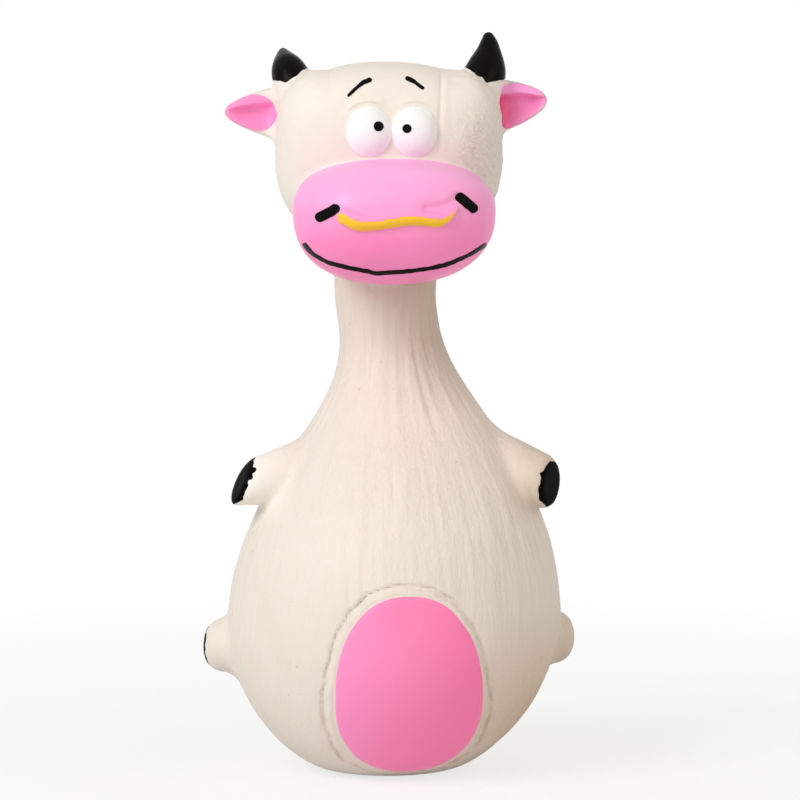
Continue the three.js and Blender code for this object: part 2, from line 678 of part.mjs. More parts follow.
// Ears and horns, cut back at the root so that the head clears them as they bend
for (const [side, hand, lean] of [[-1, "left", LEFT_HORN_LEAN], [1, "right", RIGHT_HORN_LEAN]]) {
  const lift = degToRad(EAR_LIFT);
  const hinge = at(-side * Math.sin(lift), 0, Math.cos(lift));
  const leaf = clearSwing(earLeaf(side), headRoom, earRoot(side), hinge, EAR_SWING);
  addPiece(skull, `${hand}_ear`, leaf, LATEX);
  const coat = cut(earLeaf(side, SEAT_GAP + PAINT_FILM), earLeaf(side, SEAT_GAP));
  const front = coat.trimByPlane(ahead, EAR_LINING_INSET);
  const lining = clearSwing(front, headRoom, earRoot(side), hinge, EAR_SWING);
  addPiece(skull, `${hand}_ear_lining`, lining, PINK);
  const cone = clearSwing(horn(side, lean), headRoom, hornFoot(side), at(1, 0, 0), HORN_SWING);
  addPiece(skull, `${hand}_horn`, cone, BLACK);
}

export default toy;
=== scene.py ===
import math

import bpy
import mathutils
import numpy as np
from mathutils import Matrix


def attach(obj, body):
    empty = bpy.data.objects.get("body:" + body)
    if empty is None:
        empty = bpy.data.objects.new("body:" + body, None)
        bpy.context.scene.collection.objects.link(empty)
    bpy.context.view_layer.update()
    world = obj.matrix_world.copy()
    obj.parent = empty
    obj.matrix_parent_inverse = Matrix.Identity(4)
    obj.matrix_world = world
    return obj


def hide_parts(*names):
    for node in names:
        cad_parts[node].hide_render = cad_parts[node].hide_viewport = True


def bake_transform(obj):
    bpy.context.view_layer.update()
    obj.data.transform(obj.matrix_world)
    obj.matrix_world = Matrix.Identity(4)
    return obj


# The looks of a latex squeaky toy, a sitting cow. Every soft piece is cut from one field of distances, so
# the skin runs on without a step from the body to the neck, the head, the ears and the horns. Fields are in
# millimetres in the toy's own frame: +Z up, the face towards -Y, the origin in the middle of the base.

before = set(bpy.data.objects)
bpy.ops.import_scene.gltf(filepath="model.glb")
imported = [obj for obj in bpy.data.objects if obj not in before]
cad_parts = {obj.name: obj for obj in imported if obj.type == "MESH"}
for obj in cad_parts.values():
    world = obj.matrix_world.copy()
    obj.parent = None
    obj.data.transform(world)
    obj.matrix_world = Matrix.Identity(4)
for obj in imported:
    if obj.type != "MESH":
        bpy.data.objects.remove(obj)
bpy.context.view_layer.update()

MM = 0.001
SIDES = {-1: "left", 1: "right"}

# Body: an outline of three curves, flattened from front to back, turned a little and leaning by its height
BASE_RADIUS = 12.5
BASE_FLARE = 11.2
BASE_RISE = 2.2
BASE_EDGE = 1.6
BELLY_RADIUS = 35.9
BELLY_HEIGHT = 32.0
BELLY_DOWN = 14.4
BELLY_UP = 32.5
NECK_RADIUS = 10.7
NECK_HEIGHT = 96.5
NECK_DOWN = 18.2
THROAT_RADIUS = 12.0
THROAT_TOP = 116.0
THROAT_EDGE = 2.0
BODY_DEPTH = 0.95
BODY_TURN = math.radians(4.5)
LEAN_HEIGHTS = [0, 40, 74, 80, 92, 103, 116]
LEAN_OFFSETS = [0, 1.5, 2.8, 2.6, 0.8, -1.0, 0]
SKIN_WALL = 2.2
PLUG_HOLE = 9.35
PLUG_HOLE_TOP = 3.0

# Heights where the neck's pieces meet, and where the turn of the head ends
NECK_FOOT = 79.0
NECK_MIDDLE = 90.0
NECK_TOP = 101.0
TURN_TOP = 107.0

# Belly patch: half its width and its reach up and down from its height. Its middle shifts with the height
PATCH_HALF = (15.6, 23.0)
PATCH_DOWN = 16.5
PATCH_POWER = 2.25
PATCH_HEIGHT = 19.0
PATCH_LEAN = [0.000365, -0.0923, 2.0]
PATCH_RAISE = 0.25
# How wide the raised band round the patch is, by the angle from its top
BAND_ANGLES = [-180, -135, -90, -45, 0, 45, 75, 100, 125, 150, 180]
BAND_WIDTHS = [1.3, 2.3, 2.2, 1.7, 2.1, 1.4, 1.2, 2.0, 2.1, 1.4, 1.3]
BAND_RAISE = 0.4
BAND_RIM = 0.2
BAND_WOBBLE = 0.3
GROOVE_DEPTH = 0.65
GROOVE_WIDTH = 0.5

# Head, from its own middle. It gets squarer towards its top, which is a low dome
HEAD_MIDDLE = np.array([0.0, -2.0, 132.5])
HEAD_HALF = np.array([24.3, 19.0, 20.6])
HEAD_ROUND = 2.25
HEAD_SQUARE = 3.6
HEAD_SQUARE_RISE = (-6.0, 12.0)
HEAD_LOWEST = 88.0
HEAD_BLEND = 3.0
DOME_TOP = -1.0
DOME_HALF = 12.0
DOME_END = 19.0
DOME_DROP = 1.1
DOME_RISE = (4.0, 16.0)
MUZZLE_MIDDLE = np.array([0.5, -17.0, -10.4])
MUZZLE_HALF = np.array([21.2, 18.0, 10.4])
MUZZLE_DOWN = 15.5
MUZZLE_POWER = 2.35
MUZZLE_SKEW = 0.05
MUZZLE_SKEW_TOP = -5.0
MUZZLE_BLEND = 1.4

# Legs, in the body's turned frame with its lean taken out: the slant of the end, and how round its edge is
LEGS = {
    ("front", -1): dict(root=(-16, -1, 66), tip=(-35.2, -5.5, 62.9), radii=(8.0, 4.4), slant=0.6, edge=2.2),
    ("front", 1): dict(root=(16, -1, 68.5), tip=(31.4, -11.8, 62.8), radii=(7.1, 5.4), slant=0.3, edge=2.2),
    ("hind", -1): dict(root=(-24, 2, 27.4), tip=(-40.3, 6.6, 26.7), radii=(7.0, 5.6), slant=0.0, edge=4.8),
    ("hind", 1): dict(root=(24, 2, 27.4), tip=(39.5, 6.6, 27.3), radii=(6.7, 5.5), slant=0.0, edge=3.6),
}
LEG_BLEND = {"front": 2.0, "hind": 2.6}

# Ears: a hollow leaf on each side, along u, tall along w, with its front face towards -Y. The hollow has the
# share of the height where its flap starts, its depth, and the share of the length where it starts
EARS = {
    -1: dict(root=(-23.2, 0.0, 9.7), lift=math.radians(1.5), length=12.2, half=5.8, straight=0.5,
             hollow=(0.5, 1.9, 0.02)),
    1: dict(root=(23.2, 0.0, 11.2), lift=math.radians(7), length=10.9, half=5.7, straight=0.35,
            hollow=(0.56, 2.8, -0.1)),
}
EAR_FORWARD = math.radians(8)
EAR_FACE = -1.3
EAR_FLARE = 1.2
EAR_ROOT = (0.4, -0.1)
HOLLOW_LIP = 0.3
HOLLOW_FOOT = (-1.15, 0.0)
HOLLOW_START = 0.2
HOLLOW_END = (1.05, 0.65)
EAR_CUT = 23.9
EAR_FILLET = 1.1

# Horns: the right one stands up and the left one is bent back. Each point has its radius last
HORNS = {
    -1: [(-19.0, -3.0, 13.0, 4.2), (-20.6, -1.5, 16.5, 4.1), (-21.4, 0.0, 18.6, 3.7),
         (-22.0, 2.0, 20.3, 2.5), (-22.4, 3.8, 21.8, 1.5), (-22.5, 4.8, 22.6, 0.9)],
    1: [(18.6, -3.6, 13.0, 4.6), (20.0, -3.0, 16.6, 4.6), (20.7, -2.2, 18.6, 4.3),
        (21.3, -1.2, 21.8, 2.8), (21.5, -0.2, 24.2, 1.9), (21.4, 0.5, 25.7, 1.15)],
}
# How low the horns' paint reaches, along the distance from the middle, and how it spreads on the head's top
HORN_PAINT = {-1: ([16.5, 18.5, 19.5, 22.1, 24.1, 25.2], [19.4, 19.0, 18.0, 16.2, 16.8, 16.6]),
              1: ([16.3, 17.6, 19.75, 24.1, 25.6], [19.4, 18.6, 16.2, 16.8, 17.2])}
HORN_SPREAD = {-1: 1.75, 1: 0.95}
HORN_SPREAD_ENDS = (19.6, 17.2)
HORN_PAINT_OVER = 0.45

# Face, drawn in X and Z from the head's middle. The nose ring is drawn from the muzzle's middle
EYES = {-1: (-4.8, -18.1, 6.0), 1: (4.6, -18.1, 6.0)}
EYE_HALF = np.array([4.75, 3.3, 5.1])
PUPILS = {-1: (-2.95, 7.25), 1: (3.05, 6.8)}
PUPIL_RADII = {-1: 1.02, 1: 0.92}
BROWS = {-1: [(-9.1, 13.6), (-7.2, 15.4), (-6.0, 16.35), (-4.6, 16.9)],
         1: [(3.4, 17.2), (4.9, 16.4), (6.5, 15.2)]}
BROW_HALVES = {-1: (0.3, 0.5), 1: (0.48, 0.34)}
LIDS = {-1: [(-9.0, 10.2), (-7.8, 11.2), (-6.3, 12.0), (-4.7, 12.2), (-2.9, 11.9)],
        1: [(2.6, 11.9), (4.4, 12.2), (6.0, 12.0), (7.5, 11.2), (8.6, 10.2)]}
LID_RAISE = {-1: 0.3, 1: 0.2}
SEAM_X = 9.6
SEAM_LEAN = 0.05
SEAM_RIDGE_FOOT = (0.5, 2.5)
SEAM_RIDGE_TOP = (19.5, 16.0)
CREASE = [(6.5, -9.3), (8.5, -9.1), (10.5, -8.6), (12.2, -7.8), (13.0, -7.0)]
CREASE_DEPTH = 0.6
NOSTRILS = {-1: [(-15.3, -11.3), (-12.2, -9.5)], 1: [(13.4, -7.2), (16.3, -9.5)]}
NOSTRIL_HALF = 0.98
MOUTH = [(-18.3, -17.3), (-16.9, -19.0), (-13.7, -20.8), (-8.7, -21.9), (-5.2, -22.5), (-3.7, -23.0),
         (-1.3, -22.7), (1.2, -22.6), (6.2, -22.1), (11.2, -21.1), (16.3, -18.95), (19.1, -17.3)]
MOUTH_HALF = 0.42
RING_PATH = [(-11.2, -0.1), (-10.0, -0.9), (-7.7, -1.8), (-5.3, -1.7), (-1.6, -1.2), (1.9, -0.6),
             (5.9, -0.8), (9.0, -1.3), (10.7, -0.6), (11.6, 0.2), (12.3, 0.9)]
RING_STEPS = 45
RING_SHARES = [0, 0.06, 0.16, 0.26, 0.8, 0.93, 1]
RING_SIZES = [1.0, 1.7, 1.75, 1.45, 1.35, 0.7, 0.25]
RING_TAPER = (8.0, 12.8)
LEDGE_RAISE = 0.35
LEDGE_FOOT = (-1.6, 0.4)
LEDGE_TOP = (9.0, 1.5)
LEDGE_ENDS = (15.5, 9.0)

# Coat: strokes to a radian on slim and on wide parts, and where one kind of coat gives way to another
FUR_COUNTS = (12.0, 25.0)
FUR_LENGTH = 12.0
FUR_DEPTH = 0.26
FUR_WIDE = (14.0, 30.0)
FUR_HEAD = (113.0, 122.0)
FUR_SLANT = (2.0, 1.6, 14.0)
FUR_HEAD_SIDE = (8.0, 18.0)
FUR_FOOT = (0.6, 5.0)
WORN_SIDE = (-22.0, -2.0)
WORN_TOP = (66.0, 84.0)
# Relief is worked out only this near the skin
RELIEF_REACH = 3.0


# Fields of distance

NOISE_SIDE = 32
NOISE = np.random.default_rng(7).uniform(-1.0, 1.0, (NOISE_SIDE,) * 3)


def noise(p):
    """Smooth values between -1 and 1 on a grid of whole numbers."""
    base = np.floor(p).astype(int)
    f = p - base
    f = f * f * (3.0 - 2.0 * f)
    out = np.zeros(len(p))
    for i, j, k in np.ndindex(2, 2, 2):
        share = np.abs(1 - i - f[:, 0]) * np.abs(1 - j - f[:, 1]) * np.abs(1 - k - f[:, 2])
        corner = (base + (i, j, k)) % NOISE_SIDE
        out += share * NOISE[tuple(corner.T)]
    return out


def smooth_min(a, b, k):
    share = np.clip(0.5 + 0.5 * (b - a) / k, 0.0, 1.0)
    return b + (a - b) * share - k * share * (1.0 - share)


def smooth_max(a, b, k):
    return -smooth_min(-a, -b, k)


def smooth_step(low, high, x):
    t = np.clip((x - low) / (high - low), 0.0, 1.0)
    return t * t * (3.0 - 2.0 * t)


def bell(x, width):
    return np.exp(-((x / width) ** 2))


def rotate(a, b, angle):
    """Coordinates along axes that are turned by an angle."""
    c, s = math.cos(angle), math.sin(angle)
    return a * c + b * s, -a * s + b * c


def bezier(points, steps=160):
    t = np.linspace(0.0, 1.0, steps)[:, None]
    rows = [np.array(point, float) for point in points]
    while len(rows) > 1:
        rows = [a + (b - a) * t for a, b in zip(rows, rows[1:])]
    return rows[0]


def smooth_path(points, count, rounds):
    """A path through a few points, in finer steps, with its corners smoothed."""
    path = np.array(points, float)
    t = np.linspace(0, len(path) - 1, count)
    fine = np.column_stack([np.interp(t, range(len(path)), column) for column in path.T])
    for _ in range(rounds):
        fine[1:-1] = (fine[:-2] + 2 * fine[1:-1] + fine[2:]) / 4
    return fine


def polyline(h, points, radii):
    """Distance to a round rod through points, with a radius at each."""
    best = np.full(len(h), 1e3)
    for a, b, ra, rb in zip(points[:-1], points[1:], radii[:-1], radii[1:]):
        axis = b - a
        t = np.clip(((h - a) @ axis) / (axis @ axis), 0.0, 1.0)
        away = np.linalg.norm(h - a - t[:, None] * axis, axis=1) - (ra + (rb - ra) * t)
        best = np.minimum(best, away)
    return best


def front_line(h, points, radii=0.0):
    """Distance to a line drawn in X and Z, seen from the front."""
    points = np.array(points, float)
    return polyline(h[:, [0, 2]], points, np.broadcast_to(radii, len(points)))


def halves(h, half, down):
    """Half sizes at each point, where the last axis has its own below the middle."""
    scale = np.tile(np.array(half, float), (len(h), 1))
    scale[h[:, -1] < 0, -1] = down
    return scale


def swollen(h, scale, power):
    """Distance to a rounded box with these half sizes: power 2 is an ellipsoid."""
    power = np.broadcast_to(power, len(h))
    parts = np.abs(h) / scale
    reach = np.maximum((parts ** power[:, None]).sum(axis=1), 1e-9) ** (1 / power)
    slope = np.linalg.norm(parts ** (power[:, None] - 1) / scale, axis=1) / reach ** (power - 1)
    return (reach - 1.0) / np.maximum(slope, 1e-4)


# Body and legs

OUTLINE = np.vstack([
    bezier([(BASE_RADIUS, 0), (BASE_RADIUS + BASE_FLARE, BASE_RISE),
            (BELLY_RADIUS, BELLY_HEIGHT - BELLY_DOWN), (BELLY_RADIUS, BELLY_HEIGHT)]),
    bezier([(BELLY_RADIUS, BELLY_HEIGHT), (BELLY_RADIUS, BELLY_HEIGHT + BELLY_UP),
            (NECK_RADIUS, NECK_HEIGHT - NECK_DOWN), (NECK_RADIUS, NECK_HEIGHT)])[1:],
    bezier([(NECK_RADIUS, NECK_HEIGHT), (NECK_RADIUS, (NECK_HEIGHT + THROAT_TOP) / 2),
            (THROAT_RADIUS, THROAT_TOP)])[1:],
])
OUTLINE_SLOPE = np.gradient(OUTLINE[:, 0], OUTLINE[:, 1])
LEAN_FINE = np.linspace(-10, 170, 361)
LEAN_WINDOW = np.hanning(33)
LEAN_PADDED = np.pad(np.interp(LEAN_FINE, LEAN_HEIGHTS, LEAN_OFFSETS), len(LEAN_WINDOW) // 2, mode="edge")
LEAN_SMOOTH = np.convolve(LEAN_PADDED, LEAN_WINDOW / LEAN_WINDOW.sum(), mode="valid")


def to_trunk(p):
    """Points in the body's own frame: its turn and its lean taken out."""
    x, y = rotate(p[:, 0], p[:, 1], BODY_TURN)
    return np.column_stack([x - np.interp(p[:, 2], LEAN_FINE, LEAN_SMOOTH), y, p[:, 2]])


def pear(q):
    z = q[:, 2]
    across = np.hypot(q[:, 0], q[:, 1] / BODY_DEPTH)
    radius = np.interp(z, OUTLINE[:, 1], OUTLINE[:, 0])
    slope = np.interp(z, OUTLINE[:, 1], OUTLINE_SLOPE)
    side = (across - radius) / np.sqrt(1.0 + slope**2)
    return smooth_max(smooth_max(side, -z, BASE_EDGE), z - THROAT_TOP, THROAT_EDGE)


def stub(q, leg):
    """A leg. Gives the distance, and how far a point lies past the leg's end."""
    root, tip = np.array(leg["root"]), np.array(leg["tip"])
    length = np.linalg.norm(tip - root)
    axis = (tip - root) / length
    upward = np.array([0.0, 0.0, 1.0]) - axis[2] * axis
    m = q - root
    along = m @ axis
    out = np.linalg.norm(m - np.maximum(along, 0.0)[:, None] * axis, axis=1)
    share = np.clip(along / length, 0.0, 1.0)
    radius = leg["radii"][0] + (leg["radii"][1] - leg["radii"][0]) * share
    past = along - length + leg["slant"] * (m @ upward)
    return smooth_max(out - radius, past / math.hypot(1.0, leg["slant"]), leg["edge"]), past


def egg(q):
    """Distance outside the belly patch's outline, seen along the press."""
    flat = np.column_stack([q[:, 0] - np.polyval(PATCH_LEAN, q[:, 2]), q[:, 2] - PATCH_HEIGHT])
    return swollen(flat, halves(flat, PATCH_HALF, PATCH_DOWN), PATCH_POWER)


def patch_relief(outside, p):
    """The belly patch stands a little proud, in a raised band with a ragged groove round it."""
    q = to_trunk(p)
    around = np.degrees(np.arctan2(q[:, 0] - np.polyval(PATCH_LEAN, q[:, 2]), q[:, 2] - PATCH_HEIGHT))
    edge = outside - np.interp(around, BAND_ANGLES, BAND_WIDTHS) + BAND_WOBBLE * noise(p / 2.6 + 4.0)
    raised = BAND_RAISE * smooth_step(0.15, -0.9, edge) + BAND_RIM * bell(edge + 0.9, GROOVE_WIDTH)
    raised = raised + PATCH_RAISE * smooth_step(0.4, -0.9, outside)
    groove = (GROOVE_DEPTH + 0.2 * noise(p / 1.3)) * bell(edge, GROOVE_WIDTH)
    return (raised - groove) * smooth_step(0.8, 4.0, p[:, 2])


def fur(p):
    """Shallow moulded strokes that run down the coat, and slant over the head."""
    x, y, z = p.T
    turn = np.arctan2(x, -y)
    wide = smooth_step(*FUR_WIDE, np.hypot(x, y))
    strokes = np.zeros(len(p))
    for count, share in zip(FUR_COUNTS, (1.0 - 0.45 * wide, wide)):
        drift = 0.8 * noise(np.column_stack([turn * count, np.full(len(p), 0.5), z / 40.0]))
        down = np.column_stack([turn * count, np.full(len(p), count), z / FUR_LENGTH + drift])
        strokes += share * noise(down)
    slanted = np.column_stack([x - z, y, x + z]) / FUR_SLANT
    head = smooth_step(*FUR_HEAD, z)
    strokes = strokes * (1.0 - head) + noise(slanted + 2.0) * head
    patchy = 0.35 + 0.65 * smooth_step(-0.35, 0.45, noise(p / 17.0 + 5.0))
    worn = np.where(y < 0, smooth_step(*WORN_SIDE, x), 1.0)
    worn = np.maximum(0.35 + 0.65 * worn, smooth_step(*WORN_TOP, z))
    sparse = 1.0 - head * (0.8 - 0.7 * smooth_step(*FUR_HEAD_SIDE, x))
    return FUR_DEPTH * strokes * patchy * worn * sparse * smooth_step(*FUR_FOOT, z)


def skin(p):
    """The whole toy's outer skin."""
    q = to_trunk(p)
    trunk = pear(q)
    body = trunk
    for (end, _), leg in LEGS.items():
        body = smooth_min(body, stub(q, leg)[0], LEG_BLEND[end])
    outside = egg(q)
    front = q[:, 1] < 0
    close = (np.abs(body) < RELIEF_REACH) & (outside < 6.0) & front
    body[close] -= patch_relief(outside[close], p[close])
    furry = (np.abs(body) < RELIEF_REACH) & ((outside > 1.2) | ~front)
    body[furry] += fur(p[furry]) * smooth_step(3.0, 0.5, (trunk - body)[furry])
    high = p[:, 2] >= HEAD_LOWEST
    body[high] = smooth_min(body[high], head_field((p - HEAD_MIDDLE)[high]), HEAD_BLEND)
    return body


# Head, ears, horns and face, from the head's middle


def head_only(h):
    away = np.abs(h[:, 0] - DOME_TOP) / DOME_HALF
    drop = np.clip(away, 0.0, 1.0) ** 2 * smooth_step(DOME_END, DOME_HALF, np.abs(h[:, 0]))
    h = h + np.outer(DOME_DROP * drop * smooth_step(*DOME_RISE, h[:, 2]), (0, 0, 1))
    square = HEAD_ROUND + (HEAD_SQUARE - HEAD_ROUND) * smooth_step(*HEAD_SQUARE_RISE, h[:, 2])
    return swollen(h, HEAD_HALF, square)


def muzzle_only(h):
    m = h - MUZZLE_MIDDLE
    m[:, 0] -= MUZZLE_SKEW * np.minimum(m[:, 2] - MUZZLE_SKEW_TOP, 0.0)
    return swollen(m, halves(m, MUZZLE_HALF, MUZZLE_DOWN), MUZZLE_POWER)


def ear_frame(h, side):
    """Along the ear, through it from front to back, up it, and the share of its length."""
    d = h - np.array(EARS[side]["root"])
    u, w = rotate(side * d[:, 0], d[:, 2], EARS[side]["lift"])
    u, v = rotate(u, d[:, 1], -EAR_FORWARD)
    return u, v, w, u / EARS[side]["length"]


def ear_half(t, side):
    t = np.clip(t, 0.0, 1.0)
    share = EARS[side]["straight"]
    return EARS[side]["half"] * (share * (1.0 - t) + (1.0 - share) * np.sqrt(1.0 - t * t))


def ear_front(t, w, side):
    """How far back the front face lies: the upper flap stands out over the hollow below it."""
    flap, deep, start = EARS[side]["hollow"]
    q = w / np.maximum(ear_half(t, side), 0.5)
    hollow = smooth_step(flap, flap - HOLLOW_LIP, q) * smooth_step(*HOLLOW_FOOT, q)
    hollow = hollow * smooth_step(start, start + HOLLOW_START, t) * smooth_step(*HOLLOW_END, t)
    return EAR_FACE - EAR_FLARE * smooth_step(*EAR_ROOT, t) + deep * hollow


def ear_field(h, side):
    u, v, w, t = ear_frame(h, side)
    edge = (np.abs(w) - ear_half(t, side)) * 0.85
    edge = smooth_max(edge, (u - EARS[side]["length"]) * 0.9, 1.2)
    front = ear_front(t, w, side) - v
    back = v - EARS[side]["hollow"][1] - 0.3 - 0.6 * smooth_step(*EAR_ROOT, t)
    return smooth_max(edge, smooth_max(front * 0.9, back, 0.6), 1.2)


HORN_PATHS = {side: smooth_path(path, 61, 40) for side, path in HORNS.items()}


def horn_field(h, side):
    path = HORN_PATHS[side]
    return polyline(h, path[:, :3], path[:, 3])


def eye_field(h, side):
    return swollen(h - np.array(EYES[side]), EYE_HALF, 2.0)


def muzzle_front(x, z):
    """Points on the muzzle's front, given from its middle."""
    tall = np.where(z < 0, MUZZLE_DOWN, MUZZLE_HALF[2])
    left = 1 - np.abs(x / MUZZLE_HALF[0]) ** MUZZLE_POWER - np.abs(z / tall) ** MUZZLE_POWER
    y = -MUZZLE_HALF[1] * np.maximum(left, 0) ** (1 / MUZZLE_POWER)
    return np.column_stack([x, y, z]) + MUZZLE_MIDDLE


RING_X = smooth_path(RING_PATH, RING_STEPS, 0)[:, 0]
RING_Z = smooth_path(RING_PATH, RING_STEPS, 4)[:, 1]
RING_POINTS = muzzle_front(RING_X, RING_Z)
RING_RADII = np.interp(np.linspace(0, 1, RING_STEPS), RING_SHARES, RING_SIZES)


def ring_field(h):
    return polyline(h, RING_POINTS, RING_RADII)


def nose_ledge(h):
    """The muzzle swells above the ring and draws in below it."""
    m = h - MUZZLE_MIDDLE
    up = m[:, 2] - np.interp(m[:, 0], RING_POINTS[:, 0], RING_POINTS[:, 2] - MUZZLE_MIDDLE[2])
    ledge = smooth_step(*LEDGE_FOOT, up) * smooth_step(*LEDGE_TOP, up)
    return ledge * smooth_step(*LEDGE_ENDS, np.abs(m[:, 0])) * (m[:, 1] < 0)


def face_relief(h):
    """The seam down the forehead, the swelling of the lid over each eye and a crease beside the nose."""
    tall = smooth_step(*SEAM_RIDGE_FOOT, h[:, 2]) * smooth_step(*SEAM_RIDGE_TOP, h[:, 2])
    step = h[:, 0] - SEAM_X - SEAM_LEAN * h[:, 2]
    relief = (0.2 * bell(step, 0.5) - 0.1 * bell(step - 1.1, 0.7)) * tall
    for side, line in LIDS.items():
        relief -= LID_RAISE[side] * bell(front_line(h, line), 1.1)
    return relief + CREASE_DEPTH * bell(front_line(h, CREASE), 1.0)


def near_box(h, box, field, *more):
    """A field where it matters: in a box, and far away outside it."""
    near = ((h > box[0]) & (h < box[1])).all(axis=1)
    out = np.full(len(h), 30.0)
    out[near] = field(h[near], *more)
    return out


def side_box(side, inner, outer, low, high):
    """A box between two distances from the middle on one side, and between two corners in Y and Z."""
    left, right = sorted((side * inner, side * outer))
    return (left, *low), (right, *high)


# What grows out of the head: its field, its box and how softly it joins
HEAD_PARTS = [(ear_field, (19, 42, (-14, -2), (12, 23)), 2.0), (horn_field, (9, 31, (-9, 6), (18, 32)), 1.2),
              (eye_field, (-13, 13, (-27, -2), (-10, 14)), 0.9)]
RING_BOX = ((-16, -41, -16), (18, -25, -3))
RING_BLEND = 0.7
FACE_BACK = -6.0


def head_field(h):
    head = head_only(h)
    furry = np.abs(head) < RELIEF_REACH
    head[furry] += fur((h + HEAD_MIDDLE)[furry])
    both = smooth_min(head, muzzle_only(h) - LEDGE_RAISE * nose_ledge(h), MUZZLE_BLEND)
    for side in SIDES:
        for field, box, blend in HEAD_PARTS:
            both = smooth_min(both, near_box(h, side_box(side, *box), field, side), blend)
    both = smooth_min(both, near_box(h, RING_BOX, ring_field), RING_BLEND)
    fine = (np.abs(both) < RELIEF_REACH) & (h[:, 1] < FACE_BACK)
    both[fine] += face_relief(h[fine])
    return both


# Surfaces

BLOCK = 6
BLOCK_REACH = 1.6


def grid(axes):
    return np.column_stack([a.ravel() for a in np.meshgrid(*axes, indexing="ij")])


def sample(field, axes, cell):
    """A field's values on a grid, worked out in full only in the blocks that its surface may cross."""
    starts = [np.arange(0, len(a), BLOCK) for a in axes]
    middles = [a[0] + cell * (s + (BLOCK - 1) / 2) for a, s in zip(axes, starts)]
    rough = field(grid(middles)).reshape([len(m) for m in middles])
    value = rough
    for i, a in enumerate(axes):
        value = np.repeat(value, BLOCK, axis=i).take(range(len(a)), axis=i)
    blocks = [tuple(slice(s[n], s[n] + BLOCK) for s, n in zip(starts, where))
              for where in np.argwhere(np.abs(rough) <= BLOCK_REACH * cell * BLOCK)]
    points = [grid([a[cut] for a, cut in zip(axes, block)]) for block in blocks]
    ends = np.cumsum([len(p) for p in points])
    for block, found in zip(blocks, np.split(field(np.vstack(points)), ends[:-1])):
        value[block] = found.reshape(value[block].shape)
    return value


def gradient(field, p, step=0.05):
    return np.column_stack([(field(p + d) - field(p - d)) / (2 * step) for d in step * np.eye(3)])


def normals(field, p):
    g = gradient(field, p, 0.12)
    return g / np.maximum(np.linalg.norm(g, axis=1, keepdims=True), 1e-9)


def crossings(value, cells):
    """For each cell, the mean place where its edges cross zero, in cells, and which cells are crossed."""
    total = np.zeros(tuple(cells) + (3,))
    hits = np.zeros(tuple(cells))

    def part(c):
        return value[tuple(slice(start, start + n) for start, n in zip(c, cells))]

    for a in np.ndindex(2, 2, 2):
        for axis in range(3):
            if a[axis]:
                continue
            b = tuple(1 if i == axis else a[i] for i in range(3))
            va, vb = part(a), part(b)
            cross = (va < 0) != (vb < 0)
            t = np.where(cross, va / np.where(cross, va - vb, 1.0), 0.0)
            for i in range(3):
                total[..., i] += np.where(cross, a[i] + (t if i == axis else 0.0), 0.0)
            hits += cross
    used = hits > 0
    return np.argwhere(used) + total[used] / hits[used][:, None], used


def triangles(inside, number, cells):
    """Two triangles across each grid edge that goes from inside to outside, facing out."""
    tris = []
    for axis in range(3):
        o1, o2 = (axis + 1) % 3, (axis + 2) % 3
        at = np.argwhere(np.diff(inside, axis=axis))
        at = at[(at[:, o1] > 0) & (at[:, o2] > 0) & (at[:, o1] < cells[o1]) & (at[:, o2] < cells[o2])]
        quad = []
        for d1, d2 in ((-1, -1), (0, -1), (0, 0), (-1, 0)):
            c = at.copy()
            c[:, o1] += d1
            c[:, o2] += d2
            quad.append(number[tuple(c.T)])
        quad = np.column_stack(quad)
        starts_in = inside[tuple(at.T)]
        quad[~starts_in] = quad[~starts_in][:, ::-1]
        tris += [quad[:, [0, 1, 2]], quad[:, [0, 2, 3]]]
    return np.vstack(tris)


def surface(field, low, high, cell):
    """Vertices and triangles where a field is zero inside a box, one vertex to each crossed cell."""
    low, high = np.array(low, float), np.array(high, float)
    cells = np.ceil((high - low) / cell).astype(int)
    value = sample(field, [low[i] + cell * np.arange(cells[i] + 1) for i in range(3)], cell)
    place, used = crossings(value, cells)
    number = np.full(tuple(cells), -1)
    number[used] = np.arange(used.sum())
    tris = triangles(value < 0, number, cells)
    verts = low + cell * place
    for _ in range(3):
        slope = gradient(field, verts)
        verts = verts - (field(verts) / np.maximum((slope**2).sum(axis=1), 1e-3))[:, None] * slope
    return verts, tris


def keep(mesh, region):
    """The part of a mesh where region is negative, cut along its border."""
    verts, tris = mesh
    value = region(verts)
    value = np.where(np.abs(value) < 1e-4, -1e-4, value)
    sign = value < 0
    number = sign[tris].sum(axis=1)
    extra, new, made = [], [], {}

    def between(a, b):
        key = (min(a, b), max(a, b))
        if key not in made:
            t = value[a] / (value[a] - value[b])
            made[key] = len(verts) + len(new)
            new.append(verts[a] + t * (verts[b] - verts[a]))
        return made[key]

    for tri in tris[(number == 1) | (number == 2)]:
        s = sign[tri]
        k = int(np.argmax(s)) if s.sum() == 1 else int(np.argmin(s))
        a, b, c = tri[k], tri[(k + 1) % 3], tri[(k + 2) % 3]
        ab, ac = between(a, b), between(a, c)
        extra += [(a, ab, ac)] if s.sum() == 1 else [(ab, b, c), (ab, c, ac)]
    tris = np.vstack([tris[number == 3], np.array(extra, int).reshape(-1, 3)])
    verts = np.vstack([verts, np.array(new).reshape(-1, 3)])
    used = np.unique(tris)
    renumber = np.full(len(verts), -1)
    renumber[used] = np.arange(len(used))
    return verts[used], renumber[tris]


def borders(tris):
    edges = np.vstack([tris[:, pair] for pair in ([0, 1], [1, 2], [2, 0])])
    key = np.sort(edges, axis=1)
    _, back, count = np.unique(key, axis=0, return_inverse=True, return_counts=True)
    return edges[count[back.ravel()] == 1]


RIM = 2


